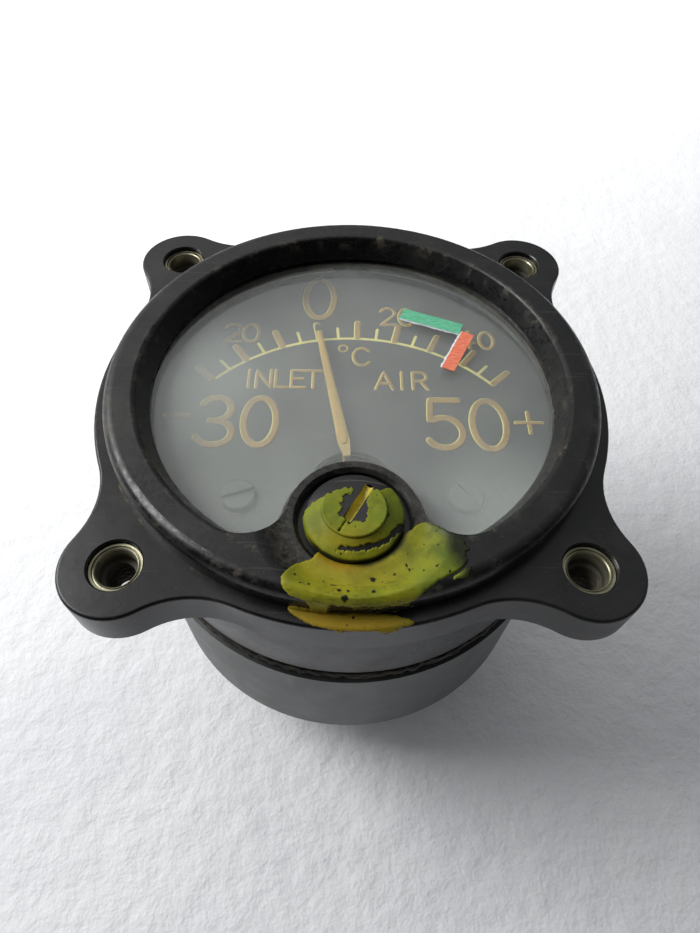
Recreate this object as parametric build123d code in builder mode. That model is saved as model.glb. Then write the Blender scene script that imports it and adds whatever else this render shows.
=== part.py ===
from build123d import *
import os
from math import acos, cos, degrees, pi, radians, sin, sqrt

# Sizes are in millimetres and angles in degrees.
# The origin is the middle of the four mounting holes, on the front face of the ears.
# +Z points out of the dial and +Y to the top of the dial. Levels are heights along Z.

# Fits
PRESS_GAP = 0.02
THREAD_GAP = 0.03
RUNNING_GAP = 0.06
END_PLAY = 0.08

# Flange with its four ears
HOLE_CIRCLE = 66.675
EAR_RADIUS = 5.7
EAR_BLEND = 10.0
FLANGE_DIAMETER = 60.325
FLANGE_THICKNESS = 4.8
FLANGE_EDGE = 0.35

# Threaded inserts in the ears
INSERT_DIAMETER = 5.5
INSERT_RIM = 0.12
INSERT_SINK = 0.6
INSERT_TAIL = 2.0
INSERT_LEAD_DIAMETER = 4.0
INSERT_LEAD_DEPTH = 2.0
INSERT_THREAD_DIAMETER = 2.9

# Bezel and skirt
BEZEL_DIAMETER = 57.15
BEZEL_HEIGHT = 3.1
BEZEL_ROUNDING = 1.3
APERTURE_DIAMETER = 47.5
APERTURE_SLOPE = 25.0
APERTURE_ROUNDING = 0.6
LIP_THICKNESS = 0.3
SKIRT_DIAMETER = 56.6
SKIRT_LENGTH = 19.5
SKIRT_ROUNDING = 1.0
CASE_WALL = 2.3

# Glass with its gasket and snap ring
GLASS_LEVEL = 0.25
GLASS_DIAMETER = 50.8
GLASS_THICKNESS = 1.6
GLASS_GAP = 0.1
GLASS_GASKET_THICKNESS = 0.8
GLASS_GASKET_WIDTH = 1.4
SNAP_RING_THICKNESS = 0.8
SNAP_RING_BITE = 0.6
SNAP_RING_WIDTH = 1.9
SNAP_RING_OPENING = 12.0
SHOULDER_THICKNESS = 0.9

# Range marks on the glass: middle, length, width and turn
MARK_THICKNESS = 0.12
GREEN_MARK_PLACE = (10.2, 11.3)
GREEN_MARK_LENGTH = 8.0
GREEN_MARK_WIDTH = 1.9
GREEN_MARK_TURN = -21.0
RED_MARK_PLACE = (13.2, 6.0)
RED_MARK_LENGTH = 7.0
RED_MARK_WIDTH = 1.6
RED_MARK_TURN = 63.5

# Boss and recess of the zero screw
BOSS_OFFSET = 19.0
BOSS_DIAMETER = 15.0
BOSS_BLEND = 3.8
BOSS_LEVEL = 1.8
BOSS_RISE_WIDTH = 2.2
BOSS_RISE_ROUNDING = 2.6
BOSS_RISE_END = 0.02
RECESS_DIAMETER = 11.5
RECESS_LEVEL = 0.75
RECESS_BEVEL = 0.4

# Zero screw
HEAD_DIAMETER = 10.0
HEAD_LEVEL = 3.2
HEAD_SHOULDER = 1.1
HEAD_STEP = 0.15
HEAD_ROUNDING = 0.5
BUTTON_DIAMETER = 6.3
BUTTON_HEIGHT = 0.35
SLOT_WIDTH = 0.95
SLOT_DEPTH = 1.0
SLOT_OVERRUN = 0.3
SLOT_TURN = 60.0
SPINDLE_DIAMETER = 3.0
SPINDLE_GLASS_GAP = 0.5
WASHER_DIAMETER = 6.8
WASHER_THICKNESS = 0.4
CLIP_DIAMETER = 5.6
CLIP_THICKNESS = 0.5
CLIP_GROOVE_DEPTH = 0.4
CLIP_OPENING = 1.6
SPINDLE_TAIL = 0.8
CRANK_RADIUS = 0.9
CRANK_PIN_DIAMETER = 1.0
CRANK_PIN_OVERRUN = 0.2

# Dial
DIAL_DEPTH = 5.0
DIAL_THICKNESS = 0.8
DIAL_GAP = 0.5
DIAL_SCREW_SPREAD = 25.8
DIAL_SCREW_OFFSET = 12.95
DIAL_SCREW_HEAD = 4.0
DIAL_SCREW_HEAD_HEIGHT = 0.9
DIAL_SCREW_SHANK = 2.2
DIAL_SCREW_LENGTH = 4.0
DIAL_SCREW_SLOT = 0.6
DIAL_SCREW_SLOT_DEPTH = 0.4
DIAL_SCREW_TURNS = {"left": 20.0, "right": -55.0}
DIAL_POST_DIAMETER = 4.0

# Pointer
PIVOT_OFFSET = 11.5
POINTER_REST = 10.5
POINTER_GAP = 1.3
POINTER_THICKNESS = 0.3
POINTER_LENGTH = 25.6
BLADE_START = 3.9
BLADE_SHOULDER = 1.6
BLADE_WIDTH = 1.45
BLADE_TIP_WIDTH = 0.75
RISER_RADIUS = 4.2
RISER_DIAMETER = 0.8

# Zero arm, worked by the pin of the zero screw
ARM_DROP = 1.6
ARM_THICKNESS = 0.5
ARM_RING_WIDTH = 1.3
ARM_WIDTH = 3.2
FORK_GAP = 0.1
FORK_LENGTH = 2.2

# Bridges and jewel screws
BRIDGE_THICKNESS = 1.2
BRIDGE_WIDTH = 3.4
BRIDGE_INSET = 0.15
JEWEL_SCREW_DIAMETER = 3.0
JEWEL_SCREW_OVERRUN = 0.7
JEWEL_SCREW_HEIGHT = 0.9
JEWEL_SLOT_WIDTH = 0.5
JEWEL_SLOT_DEPTH = 0.5
JEWEL_CUP_DEPTH = 0.5

# Hairsprings
SPRING_HEIGHT = 0.4
SPRING_STRIP = 0.12
SPRING_TURNS = 3.25
SPRING_OUTER_RADIUS = 2.8
SPRING_LUG_DIAMETER = 0.8
SPRING_GAP = 0.8
SPRING_END_GAP = 0.08

# Turning parts
HUB_GAP = 0.5
HUB_THICKNESS = 0.5
HUB_DIAMETER = 2.8
BALANCE_ARM_WIDTH = 0.6
BALANCE_ARM_LENGTH = 5.4
WEIGHT_DIAMETER = 1.4
WEIGHT_LENGTH = 1.1
COLLET_DIAMETER = 1.8
STAFF_DIAMETER = 1.0
STAFF_FOOT_DIAMETER = 2.6
STAFF_FOOT_THICKNESS = 0.4
PIVOT_DIAMETER = 0.4
PIVOT_LENGTH = 0.4

# Coil, core and magnet
COIL_HUB_GAP = 0.8
FORMER_WALL = 0.3
WINDING_WALL = 0.7
COIL_WIDTH = 2.4
WINDING_INSET = 0.2
COIL_CORE_GAP = 0.5
CORE_DIAMETER = 9.2
CORE_LENGTH = 9.0
AIR_GAP = 2.4
POLE_OVERRUN = 0.5
POLE_WALL = 2.0
POLE_HALF_LENGTH = 7.8
POLE_TIP_SPREAD = 5.0
BRACKET_THICKNESS = 1.5
BRACKET_HEIGHT = 5.0
TONGUE_WIDTH = 3.0
MAGNET_WIDTH = 6.0
MAGNET_ARM_END = 18.0
MAGNET_BEND_PLACE = 8.0

# Movement plate, pillars and spacers
PLATE_THICKNESS = 1.5
PLATE_GAP = 0.6
PLATE_JEWEL_GAP = 0.4
PLATE_HOLE_DIAMETER = 6.0
PILLAR_DIAMETER = 3.6
PILLAR_ARM_PLACE = 14.0

# Case screws with the posts that take them
POST_COUNT = 3
POST_TURN = 30.0
POST_DIAMETER = 5.4
POST_ROOT = 0.3
POST_LENGTH = 10.5
POST_FLOOR = 1.5
CASE_SCREW_DIAMETER = 2.6
CASE_SCREW_GAP = 0.2
CASE_SCREW_GRIP = 7.0
CASE_SCREW_HEAD = 4.8
CASE_SCREW_HEAD_HEIGHT = 1.6
CASE_SCREW_SLOT = 0.8
CASE_SCREW_SLOT_DEPTH = 0.8

# Rear case with its gasket
BODY_GASKET_INSET = 0.25
BODY_GASKET_THICKNESS = 1.4
BODY_GASKET_GAP = 0.2
SHELL_PROUD = 0.55
SHELL_WALL = 1.8
SHELL_BACK = 2.0
SHELL_BACK_LEVEL = -42.5
SHELL_ROUNDING = 0.8
RIB_THICKNESS = 1.6

# Resistor spools
SPOOL_SPREAD = 28.0
SPOOL_PLACE = 4.0
SPOOL_DIAMETER = 9.0
SPOOL_HEIGHT = 8.0
SPOOL_FLANGE = 0.8
SPOOL_CORE = 4.0
SPOOL_HOLE = 1.6
SPOOL_MARGIN = 0.5

# Receptacle
SOCKET_DIAMETER = 15.88
SOCKET_WALL = 1.04
SOCKET_LENGTH = 14.3
SOCKET_EDGE = 0.3
NECK_DIAMETER = 16.4
SOCKET_FLANGE = 21.0
SOCKET_FLANGE_THICKNESS = 1.6
NUT_ACROSS_FLATS = 22.0
NUT_HEIGHT = 3.5
NUT_RUNOUT = 0.2
SOCKET_INSERT_FACE = 9.3
SOCKET_INSERT_BACK = 1.0
CONTACT_COUNT = 3
CONTACT_DIAMETER = 1.6
CONTACT_CIRCLE = 7.0
CONTACT_SHOW = 4.7
CONTACT_TAIL = 2.5

# Radii and places that follow from the sizes above
hole_pitch = HOLE_CIRCLE / sqrt(2)
ear_reach = HOLE_CIRCLE / 2
flange_r = FLANGE_DIAMETER / 2
bezel_r = BEZEL_DIAMETER / 2
skirt_r = SKIRT_DIAMETER / 2
bore_r = skirt_r - CASE_WALL
aperture_r = APERTURE_DIAMETER / 2
glass_r = GLASS_DIAMETER / 2
seat_r = glass_r + GLASS_GAP
groove_r = seat_r + SNAP_RING_BITE
insert_r = INSERT_DIAMETER / 2
spindle_r = SPINDLE_DIAMETER / 2
spindle_hole_r = spindle_r + RUNNING_GAP
recess_r = RECESS_DIAMETER / 2
boss_rise_start = BOSS_DIAMETER / 2
boss_rise_end = boss_rise_start + BOSS_RISE_WIDTH
crank_pin_r = CRANK_PIN_DIAMETER / 2
shell_r = skirt_r + SHELL_PROUD
shell_inner_r = shell_r - SHELL_WALL
post_r = POST_DIAMETER / 2
post_circle_r = bore_r - post_r + POST_ROOT
case_screw_r = CASE_SCREW_DIAMETER / 2
screw_way_r = case_screw_r + CASE_SCREW_GAP
core_r = CORE_DIAMETER / 2
pole_bore_r = core_r + AIR_GAP
pole_outer_x = pole_bore_r + POLE_WALL
magnet_outer_x = pole_outer_x + MAGNET_WIDTH
magnet_mid_x = pole_outer_x + MAGNET_WIDTH / 2
jewel_screw_r = JEWEL_SCREW_DIAMETER / 2
collet_r = COLLET_DIAMETER / 2
staff_r = STAFF_DIAMETER / 2
pivot_r = PIVOT_DIAMETER / 2
lug_r = SPRING_LUG_DIAMETER / 2
lug_place = SPRING_OUTER_RADIUS + lug_r
former_inner_x = core_r + COIL_CORE_GAP
former_outer_x = former_inner_x + FORMER_WALL
winding_outer_x = former_outer_x + WINDING_WALL
riser_r = RISER_DIAMETER / 2

# Levels in the glass stack
glass_bottom = GLASS_LEVEL - GLASS_THICKNESS
glass_gasket_bottom = glass_bottom - GLASS_GASKET_THICKNESS
snap_ring_bottom = glass_gasket_bottom - SNAP_RING_THICKNESS
shoulder_level = snap_ring_bottom - SHOULDER_THICKNESS

# Levels of the zero screw
head_bottom = RECESS_LEVEL + END_PLAY
washer_bottom = glass_bottom - WASHER_THICKNESS
clip_top = washer_bottom - END_PLAY
clip_bottom = clip_top - CLIP_THICKNESS
spindle_bottom = clip_bottom - SPINDLE_TAIL

# Levels of the dial and the movement, from the dial down
dial_top = -DIAL_DEPTH
dial_bottom = dial_top - DIAL_THICKNESS
pointer_bottom = dial_top + POINTER_GAP
pointer_top = pointer_bottom + POINTER_THICKNESS
arm_top = dial_bottom - ARM_DROP
arm_bottom = arm_top - ARM_THICKNESS
upper_bridge_top = arm_bottom - END_PLAY
upper_bridge_bottom = upper_bridge_top - BRIDGE_THICKNESS
upper_screw_bottom = upper_bridge_bottom - JEWEL_SCREW_OVERRUN
upper_spring_top = upper_bridge_bottom - SPRING_GAP
upper_spring_bottom = upper_spring_top - SPRING_HEIGHT
hub_top = upper_spring_bottom - HUB_GAP
hub_bottom = hub_top - HUB_THICKNESS
coil_top = hub_bottom - COIL_HUB_GAP
core_top = coil_top - WINDING_WALL - FORMER_WALL - COIL_CORE_GAP
core_bottom = core_top - CORE_LENGTH
coil_bottom = core_bottom - COIL_CORE_GAP - FORMER_WALL - WINDING_WALL
pole_top = core_top + POLE_OVERRUN
pole_bottom = core_bottom - POLE_OVERRUN
pole_height = pole_top - pole_bottom
lower_spring_top = coil_bottom - HUB_GAP - STAFF_FOOT_THICKNESS
lower_spring_bottom = lower_spring_top - SPRING_HEIGHT
lower_bridge_top = lower_spring_bottom - SPRING_GAP
lower_bridge_bottom = lower_bridge_top - BRIDGE_THICKNESS
lower_screw_top = lower_bridge_top + JEWEL_SCREW_OVERRUN
lower_screw_bottom = lower_bridge_bottom - JEWEL_SCREW_HEIGHT
plate_top = lower_screw_bottom - PLATE_JEWEL_GAP
plate_bottom = plate_top - PLATE_THICKNESS

# Levels of the rear case and the receptacle
shell_top = -SKIRT_LENGTH - BODY_GASKET_THICKNESS
back_inside = SHELL_BACK_LEVEL + SHELL_BACK
nut_bottom = SHELL_BACK_LEVEL - NUT_HEIGHT
socket_rim = SHELL_BACK_LEVEL - SOCKET_LENGTH
insert_face = socket_rim + SOCKET_INSERT_FACE

# Planes and axes that several pieces share
pivot_axis = Axis((0, -PIVOT_OFFSET, 0), (0, 0, 1))
boss_axis = Axis((0, -BOSS_OFFSET, 0), (0, 0, 1))
pivot_section = Plane.XZ.offset(PIVOT_OFFSET)
boss_section = Plane.XZ.offset(BOSS_OFFSET)
post_places = PolarLocations(post_circle_r, POST_COUNT, start_angle=POST_TURN)


def polar_point(radius, turn):
    """Point at a distance from the middle of the dial, in a direction counted from its X."""
    return (radius * cos(radians(turn)), radius * sin(radians(turn)))


def corner_turn(opposite, side, other_side):
    """Angle of a triangle's corner, from the side opposite to it and the two sides that meet in it."""
    return degrees(acos((side**2 + other_side**2 - opposite**2) / (2 * side * other_side)))


def at_pivot(level):
    """Plane across the pointer's pivot at a level, with its X along the dial's X."""
    return Plane(origin=(0, -PIVOT_OFFSET, level))


def along_pointer(level):
    """Plane across the pivot at a level, with its Y along the resting pointer."""
    return at_pivot(level).rotated((0, 0, POINTER_REST))


def save(piece, node):
    """Name a finished piece and write it as its own node."""
    piece.part.label = node
    export_step(piece.part, f"parts/{node}.step")


# The middles of the dial, an ear and its blend are the corners of a triangle
blend_turn = corner_turn(EAR_RADIUS + EAR_BLEND, flange_r + EAR_BLEND, ear_reach)
ear_half_turn = 180 - corner_turn(flange_r + EAR_BLEND, EAR_RADIUS + EAR_BLEND, ear_reach)

os.makedirs("parts", exist_ok=True)

# Front case: flange with ears, bezel, skirt, boss of the zero screw and inner posts
with BuildPart() as front_case:
    # The flange's outline runs from its round edge through a hollow blend on each side of an ear
    with BuildSketch(Plane.XY.offset(-FLANGE_THICKNESS)):
        with BuildLine():
            for quarter in range(4):
                ear_turn = 45 + 90 * quarter
                ear_middle = polar_point(ear_reach, ear_turn)
                CenterArc(ear_middle, EAR_RADIUS, ear_turn - ear_half_turn, 2 * ear_half_turn)
                for side in (-1, 1):
                    CenterArc(
                        polar_point(flange_r + EAR_BLEND, ear_turn + side * blend_turn),
                        EAR_BLEND,
                        ear_turn + 180 + side * blend_turn,
                        side * (ear_half_turn - blend_turn),
                    )
                CenterArc((0, 0), flange_r, ear_turn + blend_turn, 90 - 2 * blend_turn)
        make_face()
    extrude(amount=FLANGE_THICKNESS)
    fillet(front_case.edges().group_by(Axis.Z)[-1], FLANGE_EDGE)
    with BuildSketch(Plane.XY.offset(-FLANGE_THICKNESS)):
        with GridLocations(hole_pitch, hole_pitch, 2, 2):
            Circle(insert_r)
    extrude(amount=FLANGE_THICKNESS, mode=Mode.SUBTRACT)
    insert_mouths = front_case.edges().group_by(Axis.Z)[-1].filter_by(GeomType.CIRCLE)
    insert_mouths = insert_mouths.filter_by(lambda e: abs(e.radius - insert_r) < PRESS_GAP)
    chamfer(insert_mouths, INSERT_RIM)
    # The bezel and the skirt are one turned form
    with BuildSketch(Plane.XZ) as case_section:
        with BuildLine():
            Polyline(
                (0, -SKIRT_LENGTH),
                (skirt_r, -SKIRT_LENGTH),
                (skirt_r, -FLANGE_THICKNESS / 2),
                (bezel_r, -FLANGE_THICKNESS / 2),
                (bezel_r, BEZEL_HEIGHT),
                (0, BEZEL_HEIGHT),
                close=True,
            )
        make_face()
        fillet(case_section.vertices().group_by(Axis.Y)[-1].sort_by(Axis.X)[-1], BEZEL_ROUNDING)
        fillet(case_section.vertices().group_by(Axis.Y)[0].sort_by(Axis.X)[-1], SKIRT_ROUNDING)
    revolve(axis=Axis.Z)
    # The hollow has the seat of the glass, the groove of its snap ring and the bore behind them
    with BuildSketch(Plane.XZ):
        with BuildLine():
            Polyline(
                (0, GLASS_LEVEL),
                (seat_r, GLASS_LEVEL),
                (seat_r, glass_gasket_bottom),
                (groove_r, glass_gasket_bottom),
                (groove_r, snap_ring_bottom),
                (seat_r, snap_ring_bottom),
                (seat_r, shoulder_level),
                (bore_r, shoulder_level),
                (bore_r, -SKIRT_LENGTH),
                (0, -SKIRT_LENGTH),
                close=True,
            )
        make_face()
    revolve(axis=Axis.Z, mode=Mode.SUBTRACT)
    # The opening over the dial leaves the boss of the zero screw standing
    with BuildSketch(Plane.XY.offset(GLASS_LEVEL)) as opening_outline:
        Circle(aperture_r)
        with Locations((0, -BOSS_OFFSET)):
            Circle(BOSS_DIAMETER / 2, mode=Mode.SUBTRACT)
        boss_corners = opening_outline.vertices().group_by(Axis.Y)[0]
        fillet(boss_corners, BOSS_BLEND)
    extrude(amount=LIP_THICKNESS, mode=Mode.SUBTRACT)
    extrude(
        opening_outline.sketch.moved(Location((0, 0, LIP_THICKNESS))),
        amount=BEZEL_HEIGHT - GLASS_LEVEL - LIP_THICKNESS,
        taper=-APERTURE_SLOPE,
        mode=Mode.SUBTRACT,
    )
    crest = front_case.faces().sort_by(Axis.Z)[-1]
    fillet(crest.inner_wires()[0].edges(), APERTURE_ROUNDING)
    # The boss stands a little lower than the bezel and holds the recess of the screw's head
    with BuildSketch(boss_section) as boss_cut:
        with BuildLine():
            Polyline(
                (0, RECESS_LEVEL),
                (recess_r, RECESS_LEVEL),
                (recess_r, BOSS_LEVEL - RECESS_BEVEL),
                (recess_r + RECESS_BEVEL, BOSS_LEVEL),
                (boss_rise_start, BOSS_LEVEL),
                (boss_rise_end, BEZEL_HEIGHT + BOSS_RISE_END),
                (boss_rise_end + BOSS_RISE_WIDTH, BEZEL_HEIGHT + BOSS_RISE_END),
                (boss_rise_end + BOSS_RISE_WIDTH, 2 * BEZEL_HEIGHT),
                (0, 2 * BEZEL_HEIGHT),
                close=True,
            )
        make_face()
        for corner_x in (boss_rise_start, boss_rise_end):
            rise_corner = boss_cut.vertices().filter_by(lambda v: abs(v.X - corner_x) < PRESS_GAP)
            fillet(rise_corner, BOSS_RISE_ROUNDING)
    revolve(axis=boss_axis, mode=Mode.SUBTRACT)
    with BuildSketch(Plane.XY.offset(GLASS_LEVEL)):
        with Locations((0, -BOSS_OFFSET)):
            Circle(spindle_hole_r)
    extrude(amount=RECESS_LEVEL - GLASS_LEVEL, mode=Mode.SUBTRACT)
    # Posts inside the skirt take the case screws
    with BuildSketch(Plane.XY.offset(-SKIRT_LENGTH)):
        with post_places:
            Circle(post_r)
    extrude(amount=POST_LENGTH)
    with BuildSketch(Plane.XY.offset(-SKIRT_LENGTH)):
        with post_places:
            Circle(case_screw_r + THREAD_GAP)
    extrude(amount=POST_LENGTH - POST_FLOOR, mode=Mode.SUBTRACT)
save(front_case, "front_case")

# Threaded inserts, sunk in the ears, each with a wide lead-in above its thread and a tail behind
for number, place in enumerate(GridLocations(hole_pitch, hole_pitch, 2, 2), start=1):
    with BuildPart() as mount_insert:
        with BuildSketch(Plane.XY.offset(-FLANGE_THICKNESS - INSERT_TAIL)):
            with Locations(place):
                Circle(insert_r)
                Circle(INSERT_THREAD_DIAMETER / 2, mode=Mode.SUBTRACT)
        extrude(amount=FLANGE_THICKNESS + INSERT_TAIL - INSERT_SINK)
        with BuildSketch(Plane.XY.offset(-INSERT_SINK - INSERT_LEAD_DEPTH)):
            with Locations(place):
                Circle(INSERT_LEAD_DIAMETER / 2)
        extrude(amount=INSERT_LEAD_DEPTH, mode=Mode.SUBTRACT)
    save(mount_insert, f"mount_insert_{number}")

# Window glass with a hole for the zero screw
with BuildPart() as window_glass:
    with BuildSketch(Plane.XY.offset(glass_bottom)):
        Circle(glass_r)
        with Locations((0, -BOSS_OFFSET)):
            Circle(spindle_r + SPINDLE_GLASS_GAP, mode=Mode.SUBTRACT)
    extrude(amount=GLASS_THICKNESS)
save(window_glass, "window_glass")

with BuildPart() as glass_gasket:
    with BuildSketch(Plane.XY.offset(glass_gasket_bottom)):
        Circle(glass_r)
        Circle(glass_r - GLASS_GASKET_WIDTH, mode=Mode.SUBTRACT)
    extrude(amount=GLASS_GASKET_THICKNESS)
save(glass_gasket, "glass_gasket")

# The snap ring is open at the top of the dial and springs out into its groove
with BuildPart() as glass_snap_ring:
    with BuildSketch(Plane.XZ):
        with Locations((groove_r - GLASS_GAP, snap_ring_bottom)):
            Rectangle(SNAP_RING_WIDTH, SNAP_RING_THICKNESS, align=(Align.MAX, Align.MIN))
    revolve(axis=Axis.Z, revolution_arc=360 - SNAP_RING_OPENING)
glass_snap_ring.part = glass_snap_ring.part.rotate(Axis.Z, 90 + SNAP_RING_OPENING / 2)
save(glass_snap_ring, "glass_snap_ring")

# Range marks stuck on the glass
with BuildPart() as green_range_mark:
    with BuildSketch(Plane.XY.offset(GLASS_LEVEL)):
        with Locations(GREEN_MARK_PLACE):
            Rectangle(GREEN_MARK_LENGTH, GREEN_MARK_WIDTH, rotation=GREEN_MARK_TURN)
    extrude(amount=MARK_THICKNESS)
save(green_range_mark, "green_range_mark")

with BuildPart() as red_range_mark:
    with BuildSketch(Plane.XY.offset(GLASS_LEVEL)):
        with Locations(RED_MARK_PLACE):
            Rectangle(RED_MARK_LENGTH, RED_MARK_WIDTH, rotation=RED_MARK_TURN)
    extrude(amount=MARK_THICKNESS)
save(red_range_mark, "red_range_mark")

# Zero screw: slotted head, spindle with the groove of its clip, and crank pin
with BuildPart() as zero_screw:
    with BuildSketch(boss_section) as screw_section:
        with BuildLine():
            Polyline(
                (0, spindle_bottom),
                (spindle_r, spindle_bottom),
                (spindle_r, clip_bottom),
                (spindle_r - CLIP_GROOVE_DEPTH, clip_bottom),
                (spindle_r - CLIP_GROOVE_DEPTH, clip_top),
                (spindle_r, clip_top),
                (spindle_r, head_bottom),
                (HEAD_DIAMETER / 2, head_bottom),
                (HEAD_DIAMETER / 2, HEAD_LEVEL - HEAD_SHOULDER),
                (BUTTON_DIAMETER / 2 + HEAD_STEP, HEAD_LEVEL),
                (BUTTON_DIAMETER / 2, HEAD_LEVEL),
                (BUTTON_DIAMETER / 2, HEAD_LEVEL + BUTTON_HEIGHT),
                (0, HEAD_LEVEL + BUTTON_HEIGHT),
                close=True,
            )
        make_face()
        fillet(screw_section.vertices().sort_by(Axis.X)[-2:].sort_by(Axis.Y)[-1], HEAD_ROUNDING)
    revolve(axis=boss_axis)
    with BuildSketch(Plane.XY.offset(HEAD_LEVEL + BUTTON_HEIGHT - SLOT_DEPTH)):
        with Locations((0, -BOSS_OFFSET)):
            SlotOverall(BUTTON_DIAMETER + 2 * SLOT_OVERRUN, SLOT_WIDTH, rotation=SLOT_TURN)
    extrude(amount=SLOT_DEPTH, mode=Mode.SUBTRACT)
    with BuildSketch(Plane.XY.offset(arm_bottom - CRANK_PIN_OVERRUN)):
        with Locations((0, -BOSS_OFFSET - CRANK_RADIUS)):
            Circle(crank_pin_r)
    extrude(until=Until.NEXT)
save(zero_screw, "zero_screw")

with BuildPart() as zero_screw_washer:
    with BuildSketch(Plane.XY.offset(washer_bottom)):
        with Locations((0, -BOSS_OFFSET)):
            Circle(WASHER_DIAMETER / 2)
            Circle(spindle_hole_r, mode=Mode.SUBTRACT)
    extrude(amount=WASHER_THICKNESS)
save(zero_screw_washer, "zero_screw_washer")

with BuildPart() as zero_screw_clip:
    with BuildSketch(Plane.XY.offset(clip_bottom)):
        with Locations((0, -BOSS_OFFSET)):
            Circle(CLIP_DIAMETER / 2)
            Circle(spindle_r - CLIP_GROOVE_DEPTH + PRESS_GAP, mode=Mode.SUBTRACT)
            Rectangle(CLIP_DIAMETER, CLIP_OPENING, align=(Align.MIN, Align.CENTER), mode=Mode.SUBTRACT)
    extrude(amount=CLIP_THICKNESS)
save(zero_screw_clip, "zero_screw_clip")

# Zero arm: a ring on the upper jewel screw, a fork for the crank pin and the lug of the spring
with BuildPart() as zero_arm:
    fork_end = BOSS_OFFSET - PIVOT_OFFSET + CRANK_RADIUS + crank_pin_r + FORK_LENGTH / 2
    with BuildSketch(at_pivot(arm_bottom)):
        Circle(jewel_screw_r + ARM_RING_WIDTH)
        Rectangle(ARM_WIDTH, fork_end, align=(Align.CENTER, Align.MAX))
        with Locations((0, -fork_end)):
            Rectangle(
                2 * (crank_pin_r + FORK_GAP),
                FORK_LENGTH + 2 * crank_pin_r,
                align=(Align.CENTER, Align.MIN),
                mode=Mode.SUBTRACT,
            )
        Circle(jewel_screw_r + RUNNING_GAP, mode=Mode.SUBTRACT)
    extrude(amount=ARM_THICKNESS)
    with BuildSketch(at_pivot(upper_spring_bottom)):
        with Locations((0, -lug_place)):
            Circle(lug_r)
    extrude(amount=arm_bottom - upper_spring_bottom)
save(zero_arm, "zero_arm")

# Dial with the ways for the pointer and the crank pin, both under the boss
with BuildPart() as dial_plate:
    with BuildSketch(Plane.XY.offset(dial_bottom)):
        Circle(bore_r - DIAL_GAP)
        with Locations((0, -PIVOT_OFFSET)):
            Circle(RISER_RADIUS + riser_r + DIAL_GAP, mode=Mode.SUBTRACT)
            Rectangle(
                2 * (CRANK_RADIUS + crank_pin_r + DIAL_GAP),
                BOSS_OFFSET - PIVOT_OFFSET + CRANK_RADIUS + crank_pin_r + DIAL_GAP,
                align=(Align.CENTER, Align.MAX),
                mode=Mode.SUBTRACT,
            )
        with Locations((0, -DIAL_SCREW_OFFSET)):
            with GridLocations(DIAL_SCREW_SPREAD, 0, 2, 1):
                Circle(DIAL_SCREW_SHANK / 2 + CASE_SCREW_GAP, mode=Mode.SUBTRACT)
    extrude(amount=DIAL_THICKNESS)
save(dial_plate, "dial_plate")

# Dial screws and the posts that they go into
for side, name in ((-1, "left"), (1, "right")):
    dial_screw_place = (side * DIAL_SCREW_SPREAD / 2, -DIAL_SCREW_OFFSET)
    with BuildPart() as dial_screw:
        with BuildSketch(Plane.XY.offset(dial_top)):
            with Locations(dial_screw_place):
                Circle(DIAL_SCREW_HEAD / 2)
        extrude(amount=DIAL_SCREW_HEAD_HEIGHT)
        with BuildSketch(Plane.XY.offset(dial_top)):
            with Locations(dial_screw_place):
                Circle(DIAL_SCREW_SHANK / 2)
        extrude(amount=-DIAL_SCREW_LENGTH)
        head_rim = dial_screw.edges().group_by(Axis.Z)[-1]
        fillet(head_rim, DIAL_SCREW_HEAD_HEIGHT / 3)
        with BuildSketch(Plane.XY.offset(dial_top + DIAL_SCREW_HEAD_HEIGHT)):
            with Locations(dial_screw_place):
                Rectangle(DIAL_SCREW_HEAD, DIAL_SCREW_SLOT, rotation=DIAL_SCREW_TURNS[name])
        extrude(amount=-DIAL_SCREW_SLOT_DEPTH, mode=Mode.SUBTRACT)
    save(dial_screw, f"dial_screw_{name}")

    with BuildPart() as dial_post:
        with BuildSketch(Plane.XY.offset(pole_top)):
            with Locations(dial_screw_place):
                Circle(DIAL_POST_DIAMETER / 2)
                Circle(DIAL_SCREW_SHANK / 2 + THREAD_GAP, mode=Mode.SUBTRACT)
        extrude(amount=dial_bottom - pole_top)
    save(dial_post, f"dial_post_{name}")

# Pointer: a blade over the dial, narrowing to its tip, and a riser down to the hub
with BuildPart() as pointer:
    with BuildSketch(along_pointer(pointer_bottom)):
        with BuildLine():
            Polyline(
                (-riser_r, BLADE_START - riser_r),
                (riser_r, BLADE_START - riser_r),
                (BLADE_WIDTH / 2, BLADE_START + BLADE_SHOULDER),
                (BLADE_TIP_WIDTH / 2, POINTER_LENGTH - BLADE_TIP_WIDTH),
                (BLADE_TIP_WIDTH / 4, POINTER_LENGTH),
                (-BLADE_TIP_WIDTH / 4, POINTER_LENGTH),
                (-BLADE_TIP_WIDTH / 2, POINTER_LENGTH - BLADE_TIP_WIDTH),
                (-BLADE_WIDTH / 2, BLADE_START + BLADE_SHOULDER),
                close=True,
            )
        make_face()
    extrude(amount=POINTER_THICKNESS)
    with BuildSketch(along_pointer(hub_top)):
        with Locations((0, RISER_RADIUS)):
            Circle(riser_r)
    extrude(amount=pointer_top - hub_top)
save(pointer, "pointer")

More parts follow.
